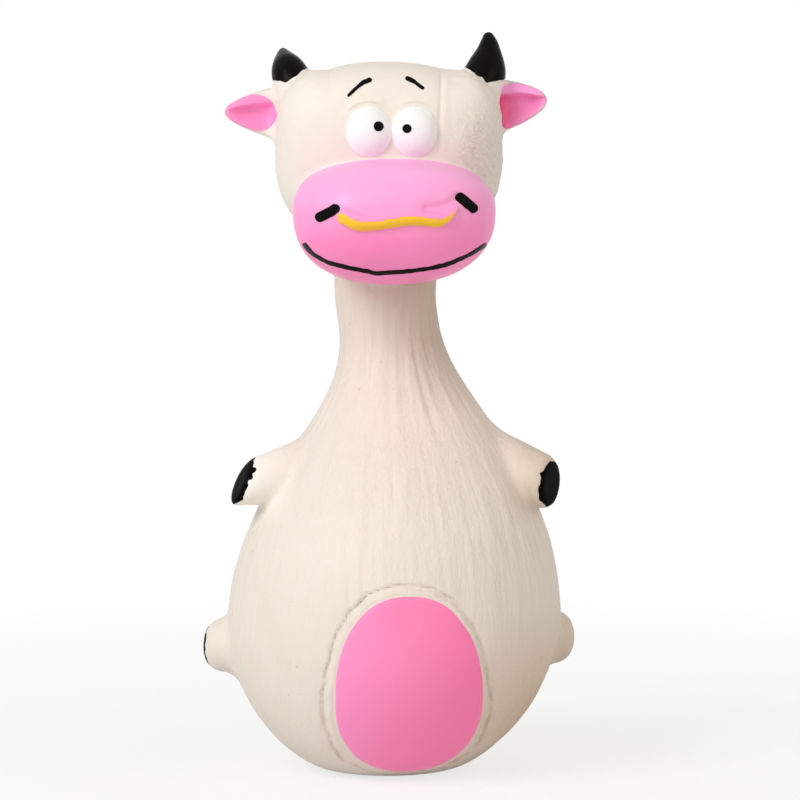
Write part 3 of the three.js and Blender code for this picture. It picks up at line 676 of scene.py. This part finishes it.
def shell(mesh, field, up, down):
    """A closed layer: the surface raised by up, the same lowered by down, and the rim between them.
    Gives the normals of each vertex too, so that the raised side shades as the field does."""
    verts, tris = mesh
    way = normals(field, verts)
    n = len(verts)
    edge = borders(tris)
    rim = np.vstack([np.column_stack([edge[:, 1], edge[:, 0], edge[:, 0] + n]),
                     np.column_stack([edge[:, 1], edge[:, 0] + n, edge[:, 1] + n])])
    points = np.vstack([verts + up * way, verts - down * way])
    faces = np.vstack([tris, tris[:, ::-1] + n, rim])
    kind = np.repeat([0, 1, RIM], [len(tris), len(tris), len(rim)])
    return points, faces, np.vstack([way, -way]), kind


REST_PLACE = "rest_place"


def piece(name, layer, material):
    """A Blender mesh, in metres, from a closed layer. Its material goes by each vertex's place at rest."""
    points, faces, way, kind = layer
    mesh = bpy.data.meshes.new(name)
    mesh.from_pydata((points * MM).tolist(), [], faces.tolist())
    mesh.polygons.foreach_set("use_smooth", np.ones(len(faces), bool))
    rest = mesh.attributes.new(REST_PLACE, "FLOAT_VECTOR", "POINT")
    rest.data.foreach_set("vector", (points * MM).ravel())
    loops = way[faces.ravel()]
    flat = np.repeat(kind == RIM, 3)
    a, b, c = points[faces[:, 0]], points[faces[:, 1]], points[faces[:, 2]]
    own = np.cross(b - a, c - a)
    own = own / np.maximum(np.linalg.norm(own, axis=1, keepdims=True), 1e-12)
    loops[flat] = np.repeat(own, 3, axis=0)[flat]
    mesh.normals_split_custom_set(loops.tolist())
    mesh.materials.append(material)
    obj = bpy.data.objects.new(name, mesh)
    bpy.context.scene.collection.objects.link(obj)
    return obj


# Materials

# The sockets of Blender's mix node that hold colours
MIX_SHARE, MIX_A, MIX_B, MIX_RESULT = 0, 6, 7, 2


def linear(*colour):
    """A colour written in the 0 to 255 of a picture, as light."""
    shares = [c / 255 for c in colour]
    return (*[c / 12.92 if c <= 0.04045 else ((c + 0.055) / 1.055) ** 2.4 for c in shares], 1.0)


def in_metres(ends):
    return [end * MM for end in ends]


class Nodes:
    """A node tree, with short ways to add to it."""

    def __init__(self, tree):
        self.tree = tree

    def node(self, kind, links=(), **values):
        """A node. A link is a socket, and the output or plain value that it takes."""
        made = self.tree.nodes.new(f"ShaderNode{kind}")
        for key, value in values.items():
            setattr(made, key, value)
        for socket, source in links:
            if hasattr(source, "is_output"):
                self.tree.links.new(source, made.inputs[socket])
            else:
                made.inputs[socket].default_value = source
        return made

    def math(self, operation, a, b=0.0):
        return self.node("Math", [(0, a), (1, b)], operation=operation).outputs[0]

    def times(self, first, *others):
        for other in others:
            first = self.math("MULTIPLY", first, other)
        return first

    def span(self, source, low, high, to_low=0.0, to_high=1.0):
        made = self.node("MapRange", [("Value", source), ("From Min", low), ("From Max", high),
                                                ("To Min", to_low), ("To Max", to_high)])
        return made.outputs["Result"]

    def mix(self, share, a, b):
        made = self.node("Mix", [(MIX_SHARE, share), (MIX_A, a), (MIX_B, b)], data_type="RGBA")
        return made.outputs[MIX_RESULT]

    def seen(self):
        """One for rays that show the background: the camera's own, mirrored ones and those through glass."""
        path = self.node("LightPath").outputs
        bent = self.math("MAXIMUM", path["Is Glossy Ray"], path["Is Transmission Ray"])
        return self.math("MAXIMUM", path["Is Camera Ray"], bent)


class Look(Nodes):
    """A material and its nodes. One that bends goes by each point's place at rest."""

    def __init__(self, name, roughness, bends=True, **sockets):
        self.material = bpy.data.materials.new(name)
        self.material.use_nodes = True
        super().__init__(self.material.node_tree)
        self.shader = self.tree.nodes["Principled BSDF"]
        self.shader.inputs["Roughness"].default_value = roughness
        for key, value in sockets.items():
            self.shader.inputs[key.replace("_", " ")].default_value = value
        if bends:
            self.place = self.node("Attribute", attribute_name=REST_PLACE).outputs["Vector"]
        else:
            self.place = self.node("TexCoord").outputs["Object"]
        self.spot = self.node("SeparateXYZ", [(0, self.place)]).outputs
        self.relief = None

    def along(self, axis, ends, first=0.0, last=1.0):
        """A value that goes from first to last between two places on an axis, in millimetres."""
        return self.span(self.spot[axis], *in_metres(ends), first, last)

    def noise(self, scale, detail=3.0, stretch=None, rough=0.55, distort=0.0, where=None):
        where = where or self.place
        if stretch:
            where = self.node("Mapping", [("Vector", where), ("Scale", stretch)]).outputs["Vector"]
        made = self.node("TexNoise", [("Vector", where), ("Scale", scale), ("Detail", detail),
                                                ("Roughness", rough), ("Distortion", distort)])
        return made.outputs["Fac"]

    def ramp(self, source, low, high, a, b):
        made = self.node("ValToRGB", [("Fac", source)])
        for element, position, colour in zip(made.color_ramp.elements, (low, high), (a, b)):
            element.position = position
            element.color = colour
        return made.outputs["Color"]

    def set(self, socket, source):
        self.tree.links.new(source, self.shader.inputs[socket])

    def bump(self, source, distance, strength):
        links = [("Height", source), ("Distance", distance), ("Strength", strength)]
        if self.relief:
            links.append(("Normal", self.relief))
        self.relief = self.node("Bump", links).outputs["Normal"]
        self.set("Normal", self.relief)


# Latex: the fine lines on the forehead and the lines over the eyes, painted shade in their creases, and
# painted shade and light by place on the toy
SEAM_HALF = (0.12, 0.3)
SEAM_FOOT = (133.5, 136.0)
SEAM_TOP = (152.5, 149.0)
SEAM_GROOVE_SHADE = 0.2
LID_RADIUS = 6.25
LID_HALF = (0.08, 0.42)
LID_FOOT = (3.0, 4.5)
LID_SPANS = {-1: [(-9.6, -8.4), (-2.4, -3.6)], 1: [(1.6, 3.2), (8.6, 6.6)]}
LID_CREASE_SHADE = {-1: 0.6, 1: 0.35}
FACE_FRONT = (-12.0, -14.0)
# Painted shade and light, each as spans along an axis with the share before them, the full share and the
# colour
# Painted shade on the neck under the head, at the body's lower right and on the right front leg; painted
# light on the left front leg and the head's top
PAINTED_SHADE_AND_LIGHT = [
    ([("Z", 78, 94, 0.0), ("Z", 122, 112, 0.0), ("X", -4, 9, 0.3)], 0.8, (192, 174, 152)),
    ([("X", 8, 30, 0.0), ("Z", 38, 14, 0.0)], 0.85, (196, 170, 138)),
    ([("X", 23, 30, 0.0), ("Z", 54, 60, 0.0), ("Z", 80, 72, 0.0)], 0.65, (205, 188, 166)),
    ([("X", -20, -28, 0.0), ("Z", 54, 60, 0.0), ("Z", 82, 74, 0.0)], 0.9, (246, 240, 232)),
    ([("Z", 118, 128, 0.0)], 0.4, (243, 237, 229)),
]
# Where the strokes' bump fades, and where the slanted strokes on the head's right start and end
COAT_TOP = (104, 112)
COAT_LEFT = (-30, 0)
SIDE_START = (10.5, 18)
SIDE_TOP = (148, 138)
SIDE_FOOT = (112, 118)
STROKE_STRETCH = (620, 620, 85)
SIDE_STRETCH = (420, 1000, 1250)
SIDE_TURN = math.radians(-48)


def seam_line(look):
    """One along the fine parting line on the forehead, nought elsewhere."""
    x, _, z = look.spot
    lean = look.times(look.math("SUBTRACT", z, HEAD_MIDDLE[2] * MM), SEAM_LEAN)
    away = look.math("ABSOLUTE", look.math("SUBTRACT", look.math("SUBTRACT", x, SEAM_X * MM), lean))
    return look.times(look.span(away, *in_metres(SEAM_HALF), 1.0, 0.0), look.along("Z", SEAM_FOOT),
                      look.along("Z", SEAM_TOP), look.along("Y", FACE_FRONT))


def lid_line(look, side):
    """One along the thin crease over an eye, nought elsewhere."""
    x, _, z = look.spot
    across = look.math("SUBTRACT", x, EYES[side][0] * MM)
    up = look.math("SUBTRACT", z, (EYES[side][2] + HEAD_MIDDLE[2]) * MM)
    reach = look.math("SQRT", look.math("ADD", look.times(across, across), look.times(up, up)))
    away = look.math("ABSOLUTE", look.math("SUBTRACT", reach, LID_RADIUS * MM))
    line = look.times(look.span(away, *in_metres(LID_HALF), 1.0, 0.0), look.span(up, *in_metres(LID_FOOT)))
    for ends in LID_SPANS[side]:
        line = look.times(line, look.along("X", ends))
    return look.times(line, look.along("Y", FACE_FRONT))


def latex_look():
    look = Look("cream_latex", 0.6, Specular_IOR_Level=0.3)
    strokes = look.noise(1.0, 3.0, stretch=STROKE_STRETCH, rough=0.6, distort=0.3)
    seam = seam_line(look)
    look.set("Base Color", latex_colour(look, strokes, seam))
    look.set("Roughness", look.span(look.noise(160.0, 3.0), 0.3, 0.7, 0.52, 0.68))
    furry = look.times(look.along("Z", COAT_TOP, 1.0, 0.35), look.along("X", COAT_LEFT, 0.4))
    look.bump(look.times(look.span(strokes, 0.35, 0.75), furry), 0.0002, 0.6)
    look.bump(look.math("SUBTRACT", 1.0, seam), 0.0001, 0.5)
    turned = look.node("Mapping", [("Vector", look.place), ("Rotation", (0, SIDE_TURN, 0))])
    slanted = look.noise(1.0, 3.0, stretch=SIDE_STRETCH, rough=0.6, distort=0.5, where=turned.outputs[0])
    right = look.times(look.along("X", SIDE_START), look.along("Z", SIDE_TOP), look.along("Z", SIDE_FOOT))
    look.bump(look.times(look.span(slanted, 0.3, 0.75), right), 0.0006, 0.65)
    look.bump(look.noise(1500.0, 3.0), 0.0001, 0.45)
    return look.material


def latex_colour(look, strokes, seam):
    """Cream with darker strokes and specks, painted shade along the fine lines, and painted shade and light
    by place.
    """
    tint = look.ramp(look.noise(38.0, 3.0), 0.3, 0.72, linear(229, 219, 207), linear(235, 225, 215))
    tint = look.mix(look.span(strokes, 0.55, 0.75, 0.0, 0.22), tint, linear(230, 210, 186))
    specks = look.times(look.noise(760.0, 0.0), look.span(look.noise(60.0, 1.0), 0.4, 0.62))
    tint = look.mix(look.span(specks, 0.79, 0.83, 0.0, 0.35), tint, linear(175, 155, 135))
    # Painted shade along the groove of the forehead's seam
    tint = look.mix(look.times(seam, SEAM_GROOVE_SHADE), tint, linear(196, 176, 158))
    # Painted shade in the crease over each eye
    for side, share in LID_CREASE_SHADE.items():
        tint = look.mix(look.times(lid_line(look, side), share), tint, linear(190, 168, 150))
    # Painted shade and painted light by place on the toy
    for spans, share, colour in PAINTED_SHADE_AND_LIGHT:
        for axis, start, end, least in spans:
            share = look.times(look.along(axis, (start, end), least), share)
        tint = look.mix(share, tint, linear(*colour))
    return tint


def paint_look(name, light, deep, roughness, tints=(), gloss=0.4):
    """Brushed enamel. A tint is an axis, the places between which the paint turns to a colour, and it."""
    look = Look(name, roughness, Specular_IOR_Level=gloss)
    fine = look.noise(900.0, 2.0)
    colour = look.ramp(look.noise(60.0, 3.0), 0.3, 0.7, linear(*deep), linear(*light))
    colour = look.mix(look.span(fine, 0.35, 0.75, 0.0, 0.16), colour, linear(*deep))
    for axis, start, end, tint in tints:
        colour = look.mix(look.along(axis, (start, end)), colour, linear(*tint))
    look.set("Base Color", colour)
    look.set("Roughness", look.span(look.noise(240.0, 3.0), 0.3, 0.7, roughness - 0.05, roughness + 0.08))
    look.bump(look.noise(140.0, 2.0), 0.0003, 0.3)
    look.bump(fine, 0.00008, 0.4)
    return look.material


def fibre_look():
    look = Look("loose_fibre", 0.95, Specular_IOR_Level=0.15, Sheen_Weight=0.4)
    strands = look.noise(520.0, 5.0, rough=0.7, distort=2.5)
    look.set("Base Color", look.ramp(strands, 0.3, 0.7, linear(222, 221, 216), linear(250, 250, 247)))
    look.bump(strands, 0.0008, 0.9)
    return look.material


def plastic_look(name, light, deep, roughness):
    look = Look(name, roughness, bends=False)
    look.set("Base Color", look.ramp(look.noise(90.0, 2.0), 0.3, 0.7, linear(*deep), linear(*light)))
    look.set("Roughness", look.span(look.noise(300.0, 3.0), 0.3, 0.7, roughness - 0.05, roughness + 0.1))
    look.bump(look.noise(1800.0, 2.0), 0.00006, 0.5)
    return look.material


CREAM = latex_look()
# Painted light and shade: the pink turns paler to the left, towards the light, and deeper to the right, in
# shade
PINK = paint_look("pink_paint", (255, 142, 191), (254, 133, 183), 0.45,
                  tints=[("X", 2.0, -13.0, (255, 149, 205)), ("X", 2.0, 18.0, (255, 126, 181))])
# Painted shade and light on the right ear: deeper towards its root, where the hollow is in shade, and paler
# on the flap above the fold
SHADED_PINK = paint_look("shaded_pink_paint", (255, 156, 212), (252, 148, 204), 0.45,
                         tints=[("X", 28.0, 23.5, (232, 80, 130)), ("Z", 145.3, 146.4, (255, 162, 220))])
# Painted light: the muzzle's pink turns paler towards its top, which faces up into the light
MUZZLE_PINK_LIT_ON_TOP = paint_look("muzzle_pink_paint", (255, 145, 200), (253, 136, 192), 0.42,
                         tints=[("Z", 116.0, 130.0, (255, 177, 227))])
BLACK = paint_look("black_paint", (12, 9, 10), (6, 4, 5), 0.27, gloss=0.05)
HOOF_BLACK = paint_look("hoof_black_paint", (13, 10, 11), (7, 5, 6), 0.4, gloss=0.012)
WHITE = paint_look("white_paint", (250, 249, 250), (243, 241, 243), 0.4)
YELLOW = paint_look("yellow_paint", (255, 206, 46), (250, 192, 38), 0.4)
FIBRE = fibre_look()
PLASTIC = plastic_look("plug_plastic", (244, 243, 238), (234, 232, 226), 0.38)
REED = plastic_look("reed_film", (220, 226, 229), (206, 213, 217), 0.22)


# Regions that cut the pieces out of the skin: negative inside


def below(height):
    return lambda p: p[:, 2] - height


def above(height):
    return lambda p: height - p[:, 2]


def all_of(*regions):
    return lambda p: np.max([region(p) for region in regions], axis=0)


def none_of(*regions):
    return lambda p: np.max([-region(p) for region in regions], axis=0)


def hole_region(p):
    """Everything but the squeaker's hole in the base."""
    return np.minimum(PLUG_HOLE - np.hypot(p[:, 0], p[:, 1]), PLUG_HOLE_TOP - p[:, 2])


def ear_region(side, grow=0.0):
    """The ear and the fillet at its root."""
    def region(p):
        h = p - HEAD_MIDDLE
        return np.maximum(EAR_CUT - side * h[:, 0], ear_field(h, side) - EAR_FILLET) - grow
    return region


# The pink of the ears: a rounded leaf with its own reach inwards, outwards, down and up
LININGS = {
    -1: dict(middle=(27.8, 9.75), across=(3.9, 7.1), tall=(3.9, 3.9), power=(1.6, 2.0)),
    1: dict(middle=(26.0, 12.0), across=(3.9, 7.5), tall=(5.7, 4.0), power=(1.4, 2.4)),
}
LINING_LEAN = 0.17


def lining_region(side):
    leaf = LININGS[side]

    def region(p):
        h = p - HEAD_MIDDLE
        _, v, w, t = ear_frame(h, side)
        z = h[:, 2] - leaf["middle"][1]
        x = side * h[:, 0] - leaf["middle"][0] - LINING_LEAN * z
        power = np.where(z < 0, *leaf["power"])
        reach = np.abs(x / np.where(x < 0, *leaf["across"])) ** power
        reach = reach + np.abs(z / np.where(z < 0, *leaf["tall"])) ** power
        face = v - ear_front(t, w, side)
        edge = np.max([4.0 * (reach ** (1 / power) - 1.0), face - 0.7, -face - 1.6], axis=0)
        return edge + 0.12 * noise(p / 1.5)
    return region


def below_horn_paint(h, side):
    return np.interp(side * h[:, 0], *HORN_PAINT[side]) - h[:, 2]


def horn_region(side):
    def region(p):
        h = p - HEAD_MIDDLE
        spread = HORN_PAINT_OVER + HORN_SPREAD[side] * smooth_step(*HORN_SPREAD_ENDS, side * h[:, 0])
        edge = np.maximum(horn_field(h, side) - spread, below_horn_paint(h, side))
        return edge + 0.22 * noise(p / 1.4)
    return region


def horn_hole(side):
    """What the head's wall leaves out: all of a horn above its paint's border."""
    def region(p):
        h = p - HEAD_MIDDLE
        return np.maximum(horn_field(h, side) - 0.3, below_horn_paint(h, side) + 0.7)
    return region


def muzzle_region(grow):
    def region(p):
        h = p - HEAD_MIDDLE
        eyes = np.minimum(eye_field(h, -1), eye_field(h, 1))
        rest = np.minimum(np.minimum(head_only(h), pear(to_trunk(p))), eyes)
        return muzzle_only(h) - rest - grow + 0.08 * noise(p / 3.0)
    return region


def patch_region(p):
    q = to_trunk(p)
    return np.maximum(egg(q) + 0.12 * noise(p / 4.0), q[:, 1] + 4.0)


# Paint over a leg's end: how far it reaches back, is drawn to the toy's rear and spreads from the tip
HOOVES = {("front", -1): (0.9, 0.0, 9.0), ("front", 1): (2.4, 0.0, 4.8), ("hind", -1): (0.8, 0.0, 9.0),
          ("hind", 1): (0.2, 0.7, 9.0)}


def hoof_region(end, side):
    deep, rear, spread = HOOVES[end, side]
    leg = LEGS[end, side]
    tip = np.array(leg["tip"])
    axis = (tip - leg["root"]) / np.linalg.norm(tip - leg["root"])

    def region(p):
        q = to_trunk(p)
        own, past = stub(q, leg)
        away = np.linalg.norm(np.cross(q - tip, axis), axis=1)
        edge = np.maximum(-(past + deep) - rear * (q[:, 1] - tip[1] - 1.5), away - spread)
        edge = edge + 0.45 * noise(p / 1.6) + 0.25 * noise(p / 0.8)
        return np.max([edge, own - pear(q), -side * q[:, 0]], axis=0)
    return region


def eye_region(side):
    def region(p):
        h = p - HEAD_MIDDLE
        rest = np.minimum(np.minimum(head_only(h), muzzle_only(h)), eye_field(h, -side))
        return eye_field(h, side) - rest + 0.1
    return region


def stroke_region(line, half, wobble, seed):
    """Points near a line on the front of the head."""
    def region(p):
        h = p - HEAD_MIDDLE
        return np.maximum(front_line(h, line, half) + wobble * noise(p / 0.9 + seed), h[:, 1] + 4.0)
    return region


def ring_region(p):
    """Paint on the lower side of the ring's bead, up to where its far end is left pink."""
    h = p - HEAD_MIDDLE
    up = h[:, 2] - np.interp(h[:, 0], RING_POINTS[:, 0], RING_POINTS[:, 2])
    half = np.interp(h[:, 0], RING_TAPER, [1.5, 0.0])
    ends = np.maximum(RING_POINTS[0, 0] - 0.9 - h[:, 0], np.abs(up + 0.3) - half)
    return np.max([ring_field(h) - 0.2, up - 0.05 + 0.15 * noise(p / 1.4), ends], axis=0)


# Where the pieces ride: on a body, or given as two bodies and two points between them, which place bakes
# where they stand

PRESS = np.array([-math.sin(BODY_TURN), math.cos(BODY_TURN), 0.0])
BELLY_BEND = ("belly", "body", PRESS * -34.0 * MM, PRESS * -17.5 * MM)


def up_the_neck(a, b, low, high):
    return (a, b, (0, 0, low * MM), (0, 0, high * MM))


SWAY = up_the_neck("body", "lower_neck", NECK_FOOT, NECK_MIDDLE)
NOD = up_the_neck("lower_neck", "upper_neck", NECK_MIDDLE, NECK_TOP)
TURN = up_the_neck("upper_neck", "head", NECK_TOP, TURN_TOP)


def ear_bend(side):
    root = np.array(EARS[side]["root"]) + HEAD_MIDDLE
    way = np.array([side * math.cos(EARS[side]["lift"]), 0.0, math.sin(EARS[side]["lift"])])
    return ("head", f"{SIDES[side]}_ear", (root + 0.8 * way) * MM, (root + 5.0 * way) * MM)


def horn_bend(side):
    path = HORN_PATHS[side][:, :3] + HEAD_MIDDLE
    way = (path[-1] - path[0]) / np.linalg.norm(path[-1] - path[0])
    return ("head", f"{SIDES[side]}_horn", (path[0] + 5.0 * way) * MM, (path[0] + 9.5 * way) * MM)


def place(obj, body, slot, *nodes):
    """Attaches a piece to a body given by name, or else bakes its place into its mesh, and hides the nodes
    that it stands for. Its slot is not used.
    """
    if isinstance(body, str):
        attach(obj, body)
    else:
        first, second, start, end = body
        tuple(start)
        tuple(end)
        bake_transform(obj)
    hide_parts(*nodes)


def skin_piece(name, region, box, cell, layer, material, body, slot, *nodes):
    """A piece cut from the skin in a box. Its layer reaches so far out of the skin and into it."""
    mesh = keep(surface(skin, *box, cell), region)
    place(piece(name, shell(mesh, skin, *layer), material), body, slot, *nodes)


def head_box(middle, low, high):
    """A box that reaches so far down and up from a point, which is given from the head's middle."""
    middle = np.array(middle) + HEAD_MIDDLE
    return middle - low, middle + high


def face_stroke(name, line, half, wobble, seed, middle, reach, cell, layer):
    """A black stroke on the face, worked out within reach of its middle."""
    region = stroke_region(line, half, wobble, seed)
    skin_piece(f"{name}_paint", region, head_box(middle, reach, reach), cell, layer, BLACK, "head",
               "black_paint", name)


# Skin of the body, the neck and the head
WALL = (0.0, SKIN_WALL)
BODY_CELL = 0.6
NECK_CELL = 0.7
skin_piece("body_latex", all_of(below(NECK_FOOT), hole_region), ((-45, -38, -1.5), (46, 38, 80.4)), BODY_CELL,
           WALL, CREAM, BELLY_BEND, "cream_latex", "body_skin", "left_front_leg", "right_front_leg",
           "left_hind_leg", "right_hind_leg")
for name, low, high, bend in (("lower_neck", NECK_FOOT, NECK_MIDDLE, SWAY),
                              ("upper_neck", NECK_MIDDLE, NECK_TOP, NOD)):
    box = ((-22, -22, low - 1.5), (24, 22, high + 1.5))
    skin_piece(f"{name}_latex", all_of(above(low), below(high)), box, NECK_CELL, WALL, CREAM, bend,
               "cream_latex", name)
own_pieces = [ear_region(-1, -0.3), ear_region(1, -0.3), horn_hole(-1), horn_hole(1), muzzle_region(-0.5)]
skin_piece("head_latex", all_of(above(NECK_TOP), none_of(*own_pieces)), ((-29, -42, 99.5), (29, 20, 156)),
           BODY_CELL, WALL, CREAM, TURN, "cream_latex", "head_skin")
skin_piece("muzzle_paint", muzzle_region(0.0), ((-24, -41, 104), (24, -2, 137)), 0.5, (0.12, 1.6),
           MUZZLE_PINK_LIT_ON_TOP, "head", "pink_paint", "muzzle")

# Ears and horns
PART_CELL = 0.35
LINING_CELL = 0.28
EAR_PINKS = {-1: PINK, 1: SHADED_PINK}
for side, hand in SIDES.items():
    box = side_box(side, 20.0, 39.0, (-11, 135), (9, 154))
    skin_piece(f"{hand}_ear_latex", ear_region(side), box, PART_CELL, (0.03, 0.5), CREAM, ear_bend(side),
               "cream_latex", f"{hand}_ear")
    skin_piece(f"{hand}_ear_paint", lining_region(side), box, LINING_CELL, (0.13, 0.2), EAR_PINKS[side],
               ear_bend(side), "pink_paint", f"{hand}_ear_lining")
    box = side_box(side, 12.0, 29.0, (-15, 142), (18, 163))
    skin_piece(f"{hand}_horn_paint", horn_region(side), box, PART_CELL, (0.1, 0.6), BLACK, horn_bend(side),
               "black_paint", f"{hand}_horn")

# Belly patch and hooves
PAINT = (0.1, 0.5)
HOOF_BOXES = {"front": (24, 46, (-20, 50), (8, 74)), "hind": (30, 47, (-6, 18), (18, 38))}
skin_piece("belly_paint", patch_region, ((-18, -38, 1.5), (22, -8, 45)), BODY_CELL, PAINT, PINK, BELLY_BEND,
           "pink_paint", "belly_patch")
for side, hand in SIDES.items():
    for end, box in HOOF_BOXES.items():
        skin_piece(f"{hand}_{end}_hoof_paint", hoof_region(end, side), side_box(side, *box), PART_CELL, PAINT,
                   HOOF_BLACK, "body", "black_paint", f"{hand}_{end}_hoof")

# Face
for side, hand in SIDES.items():
    x, _, z = EYES[side]
    box = head_box((x, -20.0, z), (7, 6, 7), (7, 5, 7))
    skin_piece(f"{hand}_eye_paint", eye_region(side), box, 0.3, PAINT, WHITE, "head", "white_paint",
               f"{hand}_eye")
    x, z = PUPILS[side]
    face_stroke(f"{hand}_pupil", [(x, z), (x + 0.01, z)], PUPIL_RADII[side], 0.05, 21 + side, (x, -22.0, z),
                (2.5, 4, 2.5), 0.16, (0.2, 0.3))
    line = smooth_path(BROWS[side], 40, 3)
    x, z = line.mean(axis=0)
    face_stroke(f"{hand}_brow", line, np.linspace(*BROW_HALVES[side], len(line)), 0.08, 31 + side,
                (x, -17.0, z), (5, 7, 4), 0.2, (0.12, 0.3))
    line = smooth_path(NOSTRILS[side], 6, 0)
    x, z = line.mean(axis=0)
    face_stroke(f"{hand}_nostril", line, NOSTRIL_HALF, 0.1, 41 + side, (x, -31.0, z), (5, 6, 4), 0.22,
                (0.28, 0.3))
LINE_CELL = 0.25
BEAD = (0.26, 0.3)
mouth = stroke_region(smooth_path(MOUTH, 60, 3), MOUTH_HALF, 0.1, 51)
skin_piece("mouth_paint", mouth, ((-22, -40, 106), (22, -16, 119)), LINE_CELL, BEAD, BLACK, "head",
           "black_paint", "mouth_line")
skin_piece("nose_ring_paint", ring_region, ((-15, -41, 117), (17, -28, 128)), LINE_CELL, BEAD, YELLOW, "head",
           "yellow_paint", "nose_ring")

# Filling: wads of loose fibre under the skin, clear of the squeaker
PLUG_ROOM = 10.4
PLUG_ROOM_TOP = 16.0


def wad(form, low, high, inset, seed):
    def field(p):
        q = to_trunk(p)
        h = p - HEAD_MIDDLE
        inner = pear(q)
        if form == "head":
            inner = smooth_min(smooth_min(head_only(h), muzzle_only(h), 4.0), inner, 4.0)
        lumps = 0.8 * noise(p / 4.5 + seed) + 0.4 * noise(p / 2.2 + seed)
        ends = smooth_max(low - p[:, 2], p[:, 2] - high, 1.0)
        plug = smooth_min(PLUG_ROOM - np.hypot(p[:, 0], p[:, 1]), PLUG_ROOM_TOP - p[:, 2], 2.0)
        return smooth_max(smooth_max(inner + inset + lumps, ends, 2.0), plug, 2.0)
    return field


FILLINGS = [
    ("body_filling", BELLY_BEND, (-36, -36, 1), (38, 36, 80), wad("body", 3.6, 78.4, 3.4, 71), 1.6),
    ("lower_neck_filling", SWAY, (-18, -18, 78), (20, 18, 91), wad("body", 79.6, 89.4, 3.2, 73), 1.0),
    ("upper_neck_filling", NOD, (-16, -16, 89), (17, 16, 102), wad("body", 90.6, 100.4, 3.0, 75), 1.0),
    ("head_filling", TURN, (-23, -34, 100), (23, 17, 152), wad("head", 101.6, 151.0, 3.8, 77), 1.4),
]
for name, bend, low, high, field, cell in FILLINGS:
    verts, tris = surface(field, low, high, cell)
    lump = (verts, tris, normals(field, verts), np.zeros(len(tris), int))
    stuffing = piece(f"{name}_fibre", lump, FIBRE)
    place(stuffing, bend, "fibre", name)

# Squeaker
for name in ("squeaker_housing", "squeaker_grille", "reed_block", "reed_clamp", "reed_tongue"):
    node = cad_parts[name]
    node.data.materials.clear()
    node.data.materials.append(REED if name == "reed_tongue" else PLASTIC)


# Floor, light and camera, in metres

WHITE_LIGHT = (1.0, 1.0, 1.0, 1.0)
SKY_TONE = (1.0, 0.985, 0.96, 1.0)
SKY_LEVEL = 0.45
FLOOR_TONE = (0.86, 0.86, 0.86, 1.0)
FLOOR_HALF = 4.0
# The floor glows white to the camera, less so near the toy, where its shadow shows
GLOW_REACH = (0.06, 0.3)
GLOW_NEAR = 0.74


def floor_look():
    look = Look("floor", 0.9, bends=False)
    away = look.node("VectorMath", [(0, look.place)], operation="LENGTH").outputs["Value"]
    share = look.times(look.seen(), look.span(away, *GLOW_REACH, GLOW_NEAR, 1.0))
    glow = look.node("Emission", [("Color", WHITE_LIGHT), ("Strength", 1.0)]).outputs[0]
    look.shader.inputs["Base Color"].default_value = FLOOR_TONE
    both = look.node("MixShader", [(0, share), (1, look.shader.outputs[0]), (2, glow)])
    look.tree.links.new(both.outputs[0], look.tree.nodes["Material Output"].inputs["Surface"])
    return look.material


def studio_sky():
    world = bpy.data.worlds.new("studio")
    world.use_nodes = True
    world.node_tree.nodes.clear()
    sky = Nodes(world.node_tree)
    seen = sky.seen()
    tone = sky.mix(seen, SKY_TONE, WHITE_LIGHT)
    level = sky.span(seen, 0.0, 1.0, SKY_LEVEL, 1.0)
    background = sky.node("Background", [("Color", tone), ("Strength", level)])
    sky.node("OutputWorld", [("Surface", background.outputs[0])])
    return world


def aim(obj, spot, target):
    obj.location = spot
    way = mathutils.Vector(target) - mathutils.Vector(spot)
    obj.rotation_euler = way.to_track_quat("-Z", "Y").to_euler()
    scene.collection.objects.link(obj)


def lamp(name, spot, power, colour=(1, 1, 1)):
    data = bpy.data.lights.new(name, "AREA")
    data.size = LAMP_SIZE
    data.energy = power
    data.color = colour
    aim(bpy.data.objects.new(name, data), spot, LAMP_TARGET)


scene = bpy.context.scene
scene.view_settings.view_transform = "Standard"
scene.world = studio_sky()

floor_mesh = bpy.data.meshes.new("floor")
corners = [(x * FLOOR_HALF, y * FLOOR_HALF, 0) for x, y in ((-1, -1), (1, -1), (1, 1), (-1, 1))]
floor_mesh.from_pydata(corners, [], [(0, 1, 2, 3)])
floor_mesh.materials.append(floor_look())
floor = bpy.data.objects.new("floor", floor_mesh)
scene.collection.objects.link(floor)

LAMP_TARGET = (0.0, 0.0, 0.08)
LAMP_SIZE = 0.6
lamp("key", (-0.72, -0.66, 0.72), 8.0)
lamp("fill", (0.75, -0.6, 0.6), 2.2, (1.0, 0.88, 0.74))

CAMERA_DISTANCE = 0.9
CAMERA_LIFT = math.radians(5.0)
CAMERA_TURN = math.radians(-2.3)
CAMERA_TARGET = np.array([0.0025, 0.0, 0.0803])
lens = bpy.data.cameras.new("camera")
lens.sensor_width = 36.0
lens.lens = 187.6
camera = bpy.data.objects.new("camera", lens)
flat = math.cos(CAMERA_LIFT)
sight = np.array([math.sin(CAMERA_TURN) * flat, -math.cos(CAMERA_TURN) * flat, math.sin(CAMERA_LIFT)])
aim(camera, tuple(CAMERA_TARGET + CAMERA_DISTANCE * sight), tuple(CAMERA_TARGET))
scene.camera = camera
